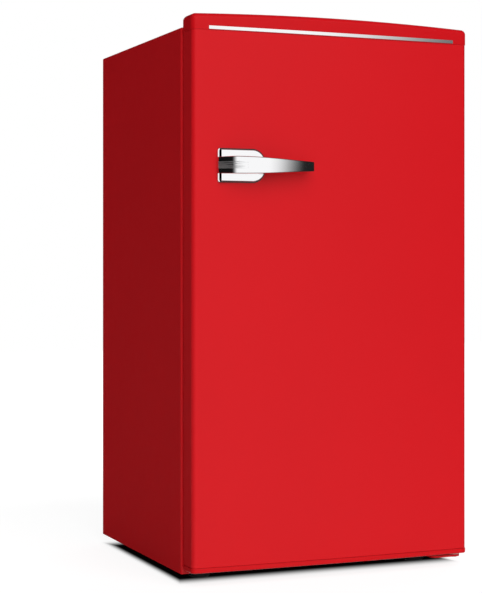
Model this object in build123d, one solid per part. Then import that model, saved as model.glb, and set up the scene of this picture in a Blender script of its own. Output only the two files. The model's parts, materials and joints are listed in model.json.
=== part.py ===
from build123d import *
import os

# Compact single-door refrigerator with a crowned door, moulded end caps and a lever-shaped pull.
# Millimetres, +Z up, -Y to the front, +X to the right. The origin is on the floor, in the middle of
# the overall box. Heights named *_LEVEL count from the lower edge of the cabinet.

# Cabinet
CABINET_WIDTH = 455.0
CABINET_DEPTH = 380.0
CABINET_HEIGHT = 800.0
FOOT_HEIGHT = 14.0
STEEL = 0.6
WRAPPER_RADIUS = 3.0
HEM_WIDTH = 30.0
SIDE_WALL = 34.0
ROOF_WALL = 36.0
FLOOR_WALL = 50.0
REAR_WALL = 42.0
LINER_WALL = 2.0
LINER_RADIUS = 10.0
LINER_LIP = 6.0
LINER_RIM_INSET = 3.0
RAIL_HEIGHT = 46.0
RAIL_SHEET = 1.0
RAIL_FLANGE = 22.0
PAN_SHEET = 1.2
PAN_UPSTAND = 14.0
SEAT_GAP = 0.2
RUN_CLEARANCE = 0.05

# Compressor bay
BAY_DEPTH = 167.0
BAY_HEIGHT = 190.0
BAY_WALL = 35.0
BAY_SHEET = 0.8
BAY_BEND = 14.0

# Door
DOOR_STANDOFF = 7.0
DOOR_DEPTH = 36.0
DOOR_CROWN = 4.0
DOOR_INSET = 1.5
DOOR_EDGE_RADIUS = 7.0
DOOR_LIFT = 7.7
DOOR_RETURN = 14.0
BOTTOM_CAP_HEIGHT = 7.9
TOP_SEAM_DROP = 7.8
TOP_CAP_RISE = 15.2
TOP_CAP_CROWN = 4.8
TOP_CAP_ROUNDING = 7.5
BOTTOM_CAP_ROUNDING = 2.0
SEAM_GROOVE = 0.8
CAP_OVERHANG = 0.8
CAP_WALL = 2.5
PLUG_DEPTH = 8.0
PLUG_CLEARANCE = 0.1

# Chrome strip on the top cap
STRIP_INSET = 25.0
STRIP_HEIGHT = 4.8
STRIP_LIFT = 0.7
STRIP_GROOVE = 0.8
STRIP_PROUD = 0.8

# Pull: D-shaped plate with a raised pad, and the tapered lever on it
HANDLE_INSET = 38.0
HANDLE_LEVEL = 596.5
PLATE_LENGTH = 75.0
PLATE_HEIGHT = 49.5
PLATE_LEFT_RADIUS = 4.0
PLATE_RIGHT_RADIUS = 21.0
PLATE_FLANGE = 4.0
PAD_INSET = 1.8
PAD_FRONT = 7.5
PAD_ROUNDING = 1.2
PAD_BEVEL = 2.6
LEVER_LENGTH = 145.0
LEVER_REACH = 28.0
LEVER_ROOT_HEIGHT = 24.0
LEVER_SHOULDER_HEIGHT = 25.4
LEVER_TIP_HEIGHT = 14.4
LEVER_TIP_THICKNESS = 6.0
LEVER_TIP_DROP = 4.9
LEVER_RAMP = 20.0
LEVER_EDGE = 2.4
LEVER_ROUNDING = 1.6
LEVER_SEAT = 62.0
GROOVE_COUNT = 3
GROOVE_PITCH = 3.4
GROOVE_WIDTH = 1.4
GROOVE_DEPTH = 0.7
GROOVE_LENGTH = 38.0
HANDLE_SCREW_PITCH = 40.0
HANDLE_SCREW_RADIUS = 2.0

# Hinges
HINGE_FROM_SIDE = 12.0
HINGE_FROM_BACK = 16.0
HINGE_PLATE = 3.0
HINGE_NOSE = 10.0
HINGE_NECK = 18.0
HINGE_BASE_WIDTH = 48.0
HINGE_BASE_DEPTH = 40.0
HINGE_BASE_SETBACK = 6.0
LOWER_HINGE_WIDTH = 51.0
LOWER_HINGE_DEPTH = 34.0
PIN_RADIUS = 4.0
PIN_HEAD_RADIUS = 5.5
PIN_HEAD_HEIGHT = 1.5
BUSH_RADIUS = 6.5
BUSH_FLANGE_RADIUS = 9.0
BUSH_FLANGE = 1.2
BUSH_GAP = 0.1
POCKET_CLEARANCE = 1.5
HINGE_COVER_HEIGHT = 11.0
HINGE_COVER_WALL = 1.8
SCREW_RADIUS = 2.2
SCREW_HEAD_RADIUS = 4.2
SCREW_HEAD_HEIGHT = 2.4
SCREW_LENGTH = 14.0

# Door lining, seal and bins
GASKET_INSET = 15.0
GASKET_WIDTH = 16.0
GASKET_LOWER_LEVEL = 22.0
GASKET_BASE_WIDTH = 9.0
GASKET_BASE_HEIGHT = 1.7
GASKET_GAP = 0.3
PLATEAU_RISE = 12.0
PLATEAU_CLEARANCE = 11.0
PLATEAU_DRAFT = 8.0
PLATEAU_ROUNDING = 5.0
DIKE_RISE = 45.0
DIKE_WIDTH = 11.0
DIKE_INSET = 22.0
DIKE_MARGIN = 8.0
BIN_DEPTH = 76.0
BIN_WALL = 2.0
BIN_CORNER = 14.0
BIN_CLEARANCE = 0.5
LUG_RADIUS = 4.0
LUG_REACH = 4.0
LUG_FROM_DOOR = 30.0
BINS = {"bottle_bin": (72.0, 84.0), "middle_bin": (262.0, 62.0), "upper_bin": (466.0, 62.0)}

# Shelves
SHELF_LEVELS = {"upper_shelf": 415.0, "lower_shelf": 232.0}
SPARE_LEDGE_LEVEL = 322.0
SHELF_GLASS = 4.0
SHELF_FRONT = 100.0
SHELF_REAR_GAP = 8.0
SHELF_SIDE_GAP = 1.5
SHELF_TRIM_HEIGHT = 12.0
SHELF_TRIM_DEPTH = 14.0
SHELF_TRIM_LIP = 6.0
LEDGE_WIDTH = 8.0
LEDGE_HEIGHT = 6.0
LEDGE_FRONT = 16.0

# Freezer box
FREEZER_DEPTH = 180.0
FREEZER_HEIGHT = 120.0
FREEZER_SIDE_GAP = 8.5
FREEZER_REAR_GAP = 8.0
FREEZER_DROP = 12.0
FREEZER_SHEET = 1.5
FREEZER_RADIUS = 12.0
CHANNEL_COUNT = 4
CHANNEL_WIDTH = 7.0
CHANNEL_RISE = 1.6
HANGER_RADIUS = 5.0
FRAME_DEPTH = 10.0
FRAME_OVERLAP = 3.0
FRAME_BORDER = 13.0
FLAP_THICKNESS = 8.0
FLAP_WALL = 2.0
FLAP_GAP = 0.3
FLAP_SIDE_GAP = 7.0
FLAP_AXIS_LIFT = 9.0
FLAP_TOP_GAP = 4.0
FLAP_LIP = 4.0
TRUNNION_RADIUS = 3.0
TRUNNION_LENGTH = 4.0
EAR_WIDTH = 5.0
EAR_RADIUS = 6.0
TRAY_DROP = 10.0
TRAY_HEIGHT = 24.0
TRAY_WALL = 2.0
TRAY_SIDE_GAP = 10.0
TRAY_LIP = 9.0

# Thermostat
THERMOSTAT_DROP = 245.0
THERMOSTAT_HEIGHT = 50.0
THERMOSTAT_WIDTH = 48.0
THERMOSTAT_DEPTH = 90.0
THERMOSTAT_SETBACK = 200.0
KNOB_RADIUS = 17.0
KNOB_DEPTH = 13.0
KNOB_RIDGE = 6.0
KNOB_SHAFT_RADIUS = 3.0
KNOB_SHAFT_LENGTH = 10.0

# Condenser
CONDENSER_OFFSET = 14.0
CONDENSER_RUNS = 11
CONDENSER_SIDE = 37.5
CONDENSER_TURN_INSET = 25.0
CONDENSER_LOWER = 30.0
CONDENSER_UPPER = 70.0
TUBE_RADIUS = 2.4
TUBE_BEND = 16.0
WIRE_RADIUS = 0.8
WIRE_GAP = 0.1
WIRE_COUNT = 18
WIRE_INSET = 29.0
WIRE_OVERRUN = 9.0
CLIP_WIDTH = 10.0
CLIP_HEIGHT = 18.0

# Compressor and what stands round it
COMPRESSOR_X = -40.0
COMPRESSOR_FROM_BAY = 76.0
COMPRESSOR_LENGTH = 170.0
COMPRESSOR_WIDTH = 120.0
COMPRESSOR_HEIGHT = 126.0
COMPRESSOR_DOME = 34.0
COMPRESSOR_BELLY = 20.0
SEAM_WIDTH = 3.5
SEAM_HEIGHT = 3.0
COMPRESSOR_PLATE = 3.0
MOUNT_HALF_X = 84.0
MOUNT_HALF_Y = 46.0
MOUNT_LIFT = 12.0
GROMMET_RADIUS = 9.0
GROMMET_NECK = 5.8
GROMMET_COLLAR = 2.5
BOLT_RADIUS = 3.8
BOLT_HEAD_RADIUS = 7.0
BOLT_HEAD_HEIGHT = 5.0
TERMINAL_WIDTH = 62.0
TERMINAL_HEIGHT = 58.0
TERMINAL_DEPTH = 30.0
TERMINAL_LIFT = 34.0
GLAND_RADIUS = 7.5
GLAND_BORE = 3.8
GLAND_LENGTH = 9.0
EVAPORATION_TRAY_LENGTH = 168.0
EVAPORATION_TRAY_WIDTH = 104.0
EVAPORATION_TRAY_HEIGHT = 24.0
EVAPORATION_TRAY_WALL = 1.8
DRAIN_RADIUS = 6.0
DRAIN_BORE = 4.5
DRAIN_X = -90.0
DRAIN_FROM_REAR = 64.0
SUCTION_FROM_SIDE = 77.5
SUCTION_RADIUS = 3.2
SUCTION_FROM_REAR = 20.0
SUCTION_LIFT = 76.0
DISCHARGE_LIFT = 52.0
DRIER_RADIUS = 9.0
DRIER_LENGTH = 88.0
DRIER_NECK = 12.0
DRIER_LEVEL = 140.0
DRIER_FROM_REAR = 46.0
CAPILLARY_RADIUS = 1.2
CAPILLARY_LEVEL = 30.0
CAPILLARY_FROM_REAR = 14.0
CAPILLARY_FROM_SUCTION = 14.0
CAPILLARY_TAIL = 12.0

# Feet
FOOT_INSET = 46.0
FOOT_RADIUS = 16.0
FOOT_PAD = 10.5
FOOT_STUD_RADIUS = 5.0
FOOT_STUD_LENGTH = 21.0
SOCKET_RADIUS = 8.0
SOCKET_FLANGE_RADIUS = 14.0
SOCKET_FLANGE = 3.0
SOCKET_WALL = 2.0
REAR_FOOT_RADIUS = 15.0
REAR_FOOT_TAPER = 3.0

# Places worked out from the sizes above
HALF = CABINET_WIDTH / 2
BOTTOM = FOOT_HEIGHT
TOP = BOTTOM + CABINET_HEIGHT
REACH_FRONT = DOOR_STANDOFF + DOOR_DEPTH + LEVER_REACH
REACH_REAR = CABINET_DEPTH + CONDENSER_OFFSET + TUBE_RADIUS + WIRE_GAP + 2 * WIRE_RADIUS
FRONT = (REACH_FRONT - REACH_REAR) / 2
REAR = FRONT + CABINET_DEPTH
PAN_TOP = BOTTOM + PAN_SHEET
INNER_HALF = HALF - STEEL

CAVITY_HALF = HALF - SIDE_WALL
CAVITY_FLOOR = BOTTOM + FLOOR_WALL
CAVITY_CEILING = TOP - ROOF_WALL
CAVITY_REAR = REAR - REAR_WALL
BAY_FRONT = REAR - BAY_DEPTH
BAY_TOP = BOTTOM + BAY_HEIGHT
HUMP_FRONT = BAY_FRONT - BAY_WALL
HUMP_TOP = BAY_TOP + BAY_WALL

DOOR_BACK = FRONT - DOOR_STANDOFF
DOOR_FACE = DOOR_BACK - DOOR_DEPTH
DOOR_HALF = HALF - DOOR_INSET
DOOR_BOTTOM = BOTTOM + DOOR_LIFT
SKIN_BOTTOM = DOOR_BOTTOM + BOTTOM_CAP_HEIGHT
SKIN_TOP = TOP - TOP_SEAM_DROP
CAP_TOP = TOP + TOP_CAP_RISE
LINER_FACE = DOOR_BACK + LINER_WALL
PLATEAU_FACE = FRONT + PLATEAU_RISE
CORE_BACK = DOOR_BACK - STEEL
PLUG_INSET = STEEL + PLUG_CLEARANCE

HINGE_X = DOOR_HALF - HINGE_FROM_SIDE
HINGE_Y = DOOR_BACK - HINGE_FROM_BACK
HINGE_HEEL = HINGE_X - HINGE_BASE_WIDTH + HINGE_NECK / 2
POCKET_FLOOR = TOP - POCKET_CLEARANCE
UPPER_BOSS_FOOT = SKIN_TOP - PLUG_DEPTH
LOWER_BOSS_HEAD = SKIN_BOTTOM + PLUG_DEPTH

HANDLE_Z = BOTTOM + HANDLE_LEVEL
HANDLE_LEFT = HANDLE_INSET - DOOR_HALF
HANDLE_MIDDLE = HANDLE_LEFT + PLATE_LENGTH / 2

FREEZER_HALF = CAVITY_HALF - FREEZER_SIDE_GAP
FREEZER_BACK = CAVITY_REAR - FREEZER_REAR_GAP
FREEZER_FRONT = FREEZER_BACK - FREEZER_DEPTH
FREEZER_TOP = CAVITY_CEILING - FREEZER_DROP
FREEZER_BOTTOM = FREEZER_TOP - FREEZER_HEIGHT
FRAME_FACE = FREEZER_FRONT - FRAME_DEPTH
FRAME_HALF = FREEZER_HALF + FRAME_OVERLAP
FRAME_BOTTOM = FREEZER_BOTTOM - FRAME_OVERLAP
FRAME_TOP = FREEZER_TOP + FRAME_OVERLAP
FLAP_HALF = FRAME_HALF - FLAP_SIDE_GAP
FLAP_AXIS_Y = FRAME_FACE - FLAP_GAP - FLAP_THICKNESS / 2
FLAP_AXIS_Z = FRAME_BOTTOM + FLAP_AXIS_LIFT
FLAP_TOP = FRAME_TOP - FLAP_TOP_GAP
TRAY_TOP = FRAME_BOTTOM - TRAY_DROP
TRAY_BOTTOM = TRAY_TOP - TRAY_HEIGHT
TRAY_HALF = CAVITY_HALF - TRAY_SIDE_GAP

CONDENSER_Y = REAR + CONDENSER_OFFSET
CONDENSER_RISER = HALF - CONDENSER_SIDE
CONDENSER_HALF = CONDENSER_RISER - CONDENSER_TURN_INSET
WIRE_PITCH = 2 * (CONDENSER_HALF - WIRE_INSET) / (WIRE_COUNT - 1)
CONDENSER_FOOT = BAY_TOP + CONDENSER_LOWER
CONDENSER_HEAD = TOP - CONDENSER_UPPER
CONDENSER_PITCH = (CONDENSER_HEAD - CONDENSER_FOOT) / (CONDENSER_RUNS - 1)

COMPRESSOR_Y = BAY_FRONT + COMPRESSOR_FROM_BAY
COMPRESSOR_END = COMPRESSOR_X + COMPRESSOR_LENGTH / 2
MOUNT_TOP = PAN_TOP + MOUNT_LIFT
SHELL_BOTTOM = MOUNT_TOP + COMPRESSOR_PLATE
SHELL_TOP = SHELL_BOTTOM + COMPRESSOR_HEIGHT
EVAPORATOR_MIDDLE = (FREEZER_BOTTOM + FREEZER_TOP) / 2
DRAIN_Y = REAR - DRAIN_FROM_REAR
SUCTION_Y = REAR - SUCTION_FROM_REAR
SUCTION_X = HALF - SUCTION_FROM_SIDE
CAPILLARY_X = SUCTION_X - CAPILLARY_FROM_SUCTION
DRIER_Y = REAR - DRIER_FROM_REAR
DRIER_TOP = BOTTOM + DRIER_LEVEL
DRIER_BOTTOM = DRIER_TOP - DRIER_LENGTH
DRIER_ELBOW = DRIER_TOP + 2 * TUBE_BEND
DRIER_JOINT = (CONDENSER_FOOT + DRIER_ELBOW) / 2
FOOT_X = HALF - FOOT_INSET
FOOT_Y = FRONT + FOOT_INSET
REAR_FOOT_Y = REAR - FOOT_INSET


def block(x_span, y_span, z_span):
    """Plain block between two values on each axis."""
    low = Vector(x_span[0], y_span[0], z_span[0])
    size = Vector(x_span[1], y_span[1], z_span[1]) - low
    return Location(low + size * 0.5) * Box(size.X, size.Y, size.Z)


def upright(sketch, z_low, z_high):
    """Sketch drawn in plan, raised between two heights."""
    return Pos(0, 0, z_low) * extrude(sketch, amount=z_high - z_low)


def across(outline, x_low, x_high):
    """Side outline in Y and Z, carried from left to right."""
    return Pos(x_low, 0, 0) * extrude(Plane.YZ * outline, amount=x_high - x_low)


def through(outline, y_front, y_rear):
    """Front outline in X and Z, carried from front to rear."""
    return Pos(0, y_rear, 0) * extrude(Plane.XZ * outline, amount=y_rear - y_front)


def rod(x, y, z_low, z_high, radius):
    """Upright round bar."""
    return upright(Pos(x, y) * Circle(radius), z_low, z_high)


def turned(points, x=0, y=0):
    """Solid of revolution about an upright line, from a half section in radius and height."""
    section = make_face(Plane.XZ * Polyline(*points, close=True))
    return Pos(x, y, 0) * revolve(section, Axis.Z)


def tube(points, bends, radius):
    """Bent round bar: straight runs with a tangent arc at each corner."""
    path = FilletPolyline(*points, radius=bends)
    return sweep(Plane(origin=path @ 0, z_dir=path % 0) * Circle(radius), path=path)


def group(solids):
    """Several separate solids in one piece."""
    return Part() + list(solids)


# Cabinet shell

def folded_block(inset, y_rear, z_low):
    """Block with the rounded front and top edges of the folded wrapper, set in from its outside."""
    body = block((inset - HALF, HALF - inset), (FRONT + inset, y_rear), (z_low, TOP - inset))
    uprights = body.edges().filter_by(Axis.Z).group_by(Axis.Y)[0]
    roof_edges = body.faces().sort_by(Axis.Z)[-1].edges().sort_by(Axis.Y)[:-1]
    return fillet(uprights + roof_edges, WRAPPER_RADIUS - inset)


def roof_screw_places():
    """Plan positions of the three screws of the upper hinge."""
    middle = HINGE_X + HINGE_NECK / 2 - HINGE_BASE_WIDTH / 2
    front_row = FRONT + HINGE_BASE_SETBACK + HINGE_BASE_DEPTH * 0.25
    rear_row = FRONT + HINGE_BASE_SETBACK + HINGE_BASE_DEPTH * 0.75
    reach = HINGE_BASE_WIDTH * 0.3
    return [(middle - reach, front_row), (middle - reach, rear_row), (middle + reach, rear_row)]


def roof_screw_holes():
    """Shanks of the upper hinge screws, below the hinge plate."""
    tip = TOP + HINGE_PLATE - SCREW_LENGTH
    return group(rod(x, y, tip, TOP, SCREW_RADIUS) for x, y in roof_screw_places())


def outer_wrapper():
    """Sides and roof folded from one sheet, with a flange turned in round the front."""
    sheet = folded_block(0, REAR, BOTTOM) - folded_block(STEEL, REAR + STEEL, BOTTOM - STEEL)
    mouth = block(
        (HEM_WIDTH - HALF, HALF - HEM_WIDTH),
        (FRONT - STEEL, FRONT + 2 * STEEL),
        (BOTTOM - STEEL, TOP - HEM_WIDTH),
    )
    return sheet - mouth - roof_screw_holes() - lower_hinge_plate()


def front_rail():
    """Channel across the foot of the front, which the lower run of the seal closes on."""
    half = HALF - HEM_WIDTH
    top = BOTTOM + RAIL_HEIGHT
    section = Polyline(
        (FRONT, PAN_TOP),
        (FRONT, top),
        (FRONT + RAIL_FLANGE, top),
        (FRONT + RAIL_FLANGE, top - RAIL_SHEET),
        (FRONT + RAIL_SHEET, top - RAIL_SHEET),
        (FRONT + RAIL_SHEET, PAN_TOP + RAIL_SHEET),
        (FRONT + RAIL_FLANGE, PAN_TOP + RAIL_SHEET),
        (FRONT + RAIL_FLANGE, PAN_TOP),
        close=True,
    )
    return across(make_face(section), -half, half) - lower_hinge_plate()


def base_pan():
    """Floor sheet with upturned sides, holed for the feet, the hinge bolts and the compressor."""
    half = INNER_HALF
    outline = Polyline(
        (-half, BOTTOM),
        (half, BOTTOM),
        (half, BOTTOM + PAN_UPSTAND),
        (half - PAN_SHEET, BOTTOM + PAN_UPSTAND),
        (half - PAN_SHEET, PAN_TOP),
        (PAN_SHEET - half, PAN_TOP),
        (PAN_SHEET - half, BOTTOM + PAN_UPSTAND),
        (-half, BOTTOM + PAN_UPSTAND),
        close=True,
    )
    pan = through(make_face(outline), FRONT + STEEL, REAR) & folded_block(STEEL, REAR, BOTTOM)
    for x in (-FOOT_X, FOOT_X):
        pan -= rod(x, FOOT_Y, BOTTOM - 1, PAN_TOP + 1, SOCKET_RADIUS)
    for x, y in compressor_mount_places():
        pan -= rod(x, y, BOTTOM - 1, PAN_TOP + 1, BOLT_RADIUS)
    for x, y in lower_bolt_places():
        pan -= rod(x, y, BOTTOM - 1, PAN_TOP + 1, SCREW_RADIUS)
    return pan


def bay_space(grow):
    """Open space of the compressor bay, grown by a sheet thickness."""
    foot = BOTTOM - BAY_BEND
    outline = Polyline(
        (BAY_FRONT - grow, foot),
        (BAY_FRONT - grow, BAY_TOP + grow),
        (REAR + BAY_BEND, BAY_TOP + grow),
        (REAR + BAY_BEND, foot),
        close=True,
    )
    face = make_face(outline)
    corner = face.vertices().group_by(Axis.X)[0].sort_by(Axis.Y)[-1]
    return across(fillet(corner, BAY_BEND + grow), -INNER_HALF, INNER_HALF)


def bay_panel():
    """Bent sheet that parts the insulation from the compressor bay."""
    limits = block((-INNER_HALF, INNER_HALF), (FRONT, REAR - STEEL), (PAN_TOP, TOP))
    sheet = (bay_space(BAY_SHEET) - bay_space(0)) & limits
    upstands = block((-INNER_HALF, INNER_HALF), (FRONT, REAR), (BOTTOM, BOTTOM + PAN_UPSTAND))
    upstands -= block((PAN_SHEET - INNER_HALF, INNER_HALF - PAN_SHEET), (FRONT, REAR), (BOTTOM, TOP))
    low, high = BAY_TOP - BAY_SHEET, BAY_TOP + 2 * BAY_SHEET
    sheet -= upstands
    sheet -= rod(DRAIN_X, DRAIN_Y, low, high, DRAIN_RADIUS + SEAT_GAP)
    sheet -= rod(SUCTION_X, SUCTION_Y, low, high, SUCTION_RADIUS + SEAT_GAP)
    return sheet - rod(CAPILLARY_X, SUCTION_Y, low, high, CAPILLARY_RADIUS + SEAT_GAP)


def rear_panel():
    """Flat sheet that closes the back above the compressor bay."""
    sheet = block((-INNER_HALF, INNER_HALF), (REAR - STEEL, REAR), (BAY_TOP, TOP - STEEL))
    return sheet & folded_block(STEEL, REAR, BOTTOM)


def cavity_space(grow):
    """Inside of the lining with its step over the compressor bay, grown by a wall."""
    mouth = FRONT - 2 * LINER_RADIUS
    step_radius = LINER_RADIUS - grow
    round_radius = LINER_RADIUS + grow
    outline = Polyline(
        (mouth, CAVITY_FLOOR - grow),
        (HUMP_FRONT + grow, CAVITY_FLOOR - grow),
        (HUMP_FRONT + grow, HUMP_TOP - grow),
        (CAVITY_REAR + grow, HUMP_TOP - grow),
        (CAVITY_REAR + grow, CAVITY_CEILING + grow),
        (mouth, CAVITY_CEILING + grow),
        close=True,
    )
    face = make_face(outline)
    corners = face.vertices().sort_by(Axis.X)
    face = fillet(corners[4:] + [corners[2:4].sort_by(Axis.Y)[0]], round_radius)
    step_head = face.vertices().sort_by_distance((HUMP_FRONT + grow, HUMP_TOP - grow, 0))[0]
    face = fillet(step_head, step_radius)
    half = CAVITY_HALF + grow
    space = across(face, -half, half)
    end_edges = ShapeList()
    for end in (space.faces().sort_by(Axis.X)[0], space.faces().sort_by(Axis.X)[-1]):
        end_edges += end.edges().sort_by(Axis.Y)[1:]
    return fillet(end_edges, round_radius)


def ledge(level, side):
    """Rib along one side wall that a sliding shelf or tray rests on."""
    z = BOTTOM + level
    inner, outer = CAVITY_HALF - LEDGE_WIDTH, CAVITY_HALF + LINER_WALL / 2
    outline = Polyline(
        (side * inner, z),
        (side * outer, z),
        (side * outer, z - 2 * LEDGE_HEIGHT),
        (side * inner, z - LEDGE_HEIGHT),
        close=True,
    )
    return through(make_face(outline), FRONT + LEDGE_FRONT, CAVITY_REAR)


def ledge_levels():
    """Heights of the ribs: two shelves, one spare place and the drip tray."""
    tray_level = TRAY_TOP - TRAY_WALL - SEAT_GAP - BOTTOM
    return [*SHELF_LEVELS.values(), SPARE_LEDGE_LEVEL, tray_level]


def liner_flange():
    """Front rim of the lining, tucked behind the steel flange."""
    half = HALF - HEM_WIDTH + LINER_LIP
    rim = block(
        (-half, half),
        (FRONT + STEEL, FRONT + STEEL + LINER_WALL),
        (BOTTOM + RAIL_HEIGHT, TOP - HEM_WIDTH + LINER_LIP),
    )
    return rim - cavity_space(0)


def inner_liner():
    """Formed plastic lining: rounded box, step, shelf ribs, drain and front rim."""
    shell = cavity_space(LINER_WALL) - cavity_space(0)
    ahead = block((-HALF, HALF), (FRONT - HALF, FRONT + STEEL), (BOTTOM, TOP))
    liner = shell - ahead + liner_flange()
    ledges = group(ledge(level, side) for level in ledge_levels() for side in (-1, 1))
    liner += ledges & cavity_space(LINER_WALL / 2)
    liner -= rod(DRAIN_X, DRAIN_Y, HUMP_TOP - 2 * LINER_WALL, HUMP_TOP + LINER_WALL, DRAIN_BORE)
    return liner - suction_hole()


def suction_hole():
    """Round way through the rear wall of the lining for the suction tube."""
    bore = Plane.XZ * Pos(SUCTION_X, EVAPORATOR_MIDDLE) * Circle(SUCTION_RADIUS + SEAT_GAP)
    return Pos(0, CAVITY_REAR + 2 * LINER_WALL, 0) * extrude(bore, amount=4 * LINER_WALL)


def cabinet_foam():
    """Insulation that fills the space between the wrapper, the lining, the pan and the bay."""
    foam = folded_block(STEEL, REAR - STEEL, PAN_TOP)
    foam -= bay_space(BAY_SHEET)
    foam -= cavity_space(LINER_WALL)
    foam -= liner_flange()
    rail_half = HALF - HEM_WIDTH
    foam -= block((-rail_half, rail_half), (FRONT, FRONT + RAIL_FLANGE), (BOTTOM, BOTTOM + RAIL_HEIGHT))
    foam -= base_pan()
    foam -= lower_hinge_plate()
    foam -= roof_screw_holes()
    for x, y in lower_bolt_places():
        foam -= rod(x, y, PAN_TOP, PAN_TOP + SCREW_LENGTH, SCREW_RADIUS)
    for x in (-FOOT_X, FOOT_X):
        foam -= rod(x, FOOT_Y, PAN_TOP, socket_top(), SOCKET_RADIUS)
    foam -= rod(DRAIN_X, DRAIN_Y, BAY_TOP, HUMP_TOP, DRAIN_RADIUS)
    return foam - suction_tube() - capillary_tube()


# Hinges

def upper_hinge_plate():
    """Plate on the roof whose nose reaches into the door's top cap."""
    nose = Pos(HINGE_X, HINGE_Y) * Circle(HINGE_NOSE)
    base_front = FRONT + HINGE_BASE_SETBACK
    neck_length = base_front + HINGE_BASE_SETBACK - HINGE_Y
    neck = Pos(HINGE_X, HINGE_Y + neck_length / 2) * Rectangle(HINGE_NECK, neck_length)
    middle = HINGE_X + HINGE_NECK / 2 - HINGE_BASE_WIDTH / 2
    base = Pos(middle, base_front + HINGE_BASE_DEPTH / 2)
    base *= RectangleRounded(HINGE_BASE_WIDTH, HINGE_BASE_DEPTH, HINGE_BASE_SETBACK)
    plate = upright(nose + neck + base, TOP, TOP + HINGE_PLATE)
    plate -= rod(HINGE_X, HINGE_Y, TOP - 1, TOP + HINGE_PLATE + 1, PIN_RADIUS)
    for x, y in roof_screw_places():
        plate -= rod(x, y, TOP - 1, TOP + HINGE_PLATE + 1, SCREW_RADIUS)
    return plate


def upper_hinge_pin():
    """Headed pin that hangs from the upper plate into the door."""
    head = TOP + HINGE_PLATE
    foot = UPPER_BOSS_FOOT + CAP_WALL
    return turned(
        [
            (0, foot),
            (PIN_RADIUS - 1, foot),
            (PIN_RADIUS, foot + 1),
            (PIN_RADIUS, head),
            (PIN_HEAD_RADIUS, head),
            (PIN_HEAD_RADIUS, head + PIN_HEAD_HEIGHT),
            (0, head + PIN_HEAD_HEIGHT),
        ],
        HINGE_X,
        HINGE_Y,
    )


def screw(x, y, seat, direction):
    """Domed screw; direction -1 drives it down from its seat, +1 drives it up."""
    head = seat - direction * SCREW_HEAD_HEIGHT
    tip = seat + direction * SCREW_LENGTH
    return turned(
        [
            (0, tip),
            (SCREW_RADIUS, tip),
            (SCREW_RADIUS, seat),
            (SCREW_HEAD_RADIUS, seat),
            (SCREW_HEAD_RADIUS, (seat + head) / 2),
            (SCREW_HEAD_RADIUS - SCREW_HEAD_HEIGHT / 2, head),
            (0, head),
        ],
        x,
        y,
    )


def upper_hinge_screws():
    """Three screws that hold the upper plate on the roof."""
    return group(screw(x, y, TOP + HINGE_PLATE, -1) for x, y in roof_screw_places())


def hinge_cover():
    """Moulded cover over the screws of the upper hinge."""
    margin = HINGE_COVER_WALL + SEAT_GAP
    right = HINGE_X + HINGE_NECK / 2 + margin
    left = HINGE_HEEL - margin
    front = FRONT + HINGE_BASE_SETBACK - margin
    rear = front + HINGE_BASE_DEPTH + 2 * margin
    shell = block((left, right), (front, rear), (TOP, TOP + HINGE_COVER_HEIGHT))
    shell = fillet(shell.edges().filter_by(Axis.Z), 2 * HINGE_COVER_WALL)
    shell = fillet(shell.faces().sort_by(Axis.Z)[-1].edges(), HINGE_COVER_WALL)
    wall = HINGE_COVER_WALL
    ceiling = TOP + HINGE_COVER_HEIGHT - wall
    shell -= block((left + wall, right - wall), (front + wall, rear - wall), (TOP, ceiling))
    way = HINGE_NECK / 2 + SEAT_GAP
    notch_top = TOP + HINGE_PLATE + SEAT_GAP
    return shell - block((HINGE_X - way, HINGE_X + way), (front - wall, front + 2 * wall), (TOP, notch_top))


def lower_hinge_plate():
    """Plate that lies on the pan and reaches forward under the door."""
    right = HINGE_X + HINGE_NECK / 2
    front = HINGE_Y - HINGE_NOSE
    rear = FRONT + LOWER_HINGE_DEPTH
    outline = Pos(right - LOWER_HINGE_WIDTH / 2, (front + rear) / 2)
    outline *= RectangleRounded(LOWER_HINGE_WIDTH, rear - front, HINGE_NOSE - 1)
    return upright(outline, PAN_TOP, PAN_TOP + HINGE_PLATE)


def lower_bolt_places():
    """Plan positions of the two bolts of the lower hinge."""
    middle = HINGE_X + HINGE_NECK / 2 - LOWER_HINGE_WIDTH / 2
    reach = LOWER_HINGE_WIDTH * 0.28
    y = FRONT + LOWER_HINGE_DEPTH * 0.6
    return [(middle - reach, y), (middle + reach, y)]


def lower_hinge_bracket():
    """Lower hinge plate, drilled for its pin and bolts."""
    plate = lower_hinge_plate()
    low, high = PAN_TOP - 1, PAN_TOP + HINGE_PLATE + 1
    plate -= rod(HINGE_X, HINGE_Y, low, high, PIN_RADIUS)
    for x, y in lower_bolt_places():
        plate -= rod(x, y, low, high, SCREW_RADIUS)
    return plate


def lower_hinge_pin():
    """Headed pin that stands on the lower plate and carries the door."""
    head = PAN_TOP - PIN_HEAD_HEIGHT
    tip = LOWER_BOSS_HEAD - CAP_WALL
    return turned(
        [
            (0, head),
            (PIN_HEAD_RADIUS, head),
            (PIN_HEAD_RADIUS, PAN_TOP),
            (PIN_RADIUS, PAN_TOP),
            (PIN_RADIUS, tip - 1),
            (PIN_RADIUS - 1, tip),
            (0, tip),
        ],
        HINGE_X,
        HINGE_Y,
    )


def lower_hinge_bolts():
    """Two bolts driven up through the pan into the lower plate."""
    return group(screw(x, y, BOTTOM, 1) for x, y in lower_bolt_places())


def bush(inner_face, outer_face, flange_face):
    """Nylon sleeve for a hinge pin, with a flange between the cap and the plate."""
    bore = PIN_RADIUS + RUN_CLEARANCE
    return turned(
        [
            (bore, inner_face),
            (BUSH_RADIUS, inner_face),
            (BUSH_RADIUS, outer_face),
            (BUSH_FLANGE_RADIUS, outer_face),
            (BUSH_FLANGE_RADIUS, flange_face),
            (bore, flange_face),
        ],
        HINGE_X,
        HINGE_Y,
    )


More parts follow.
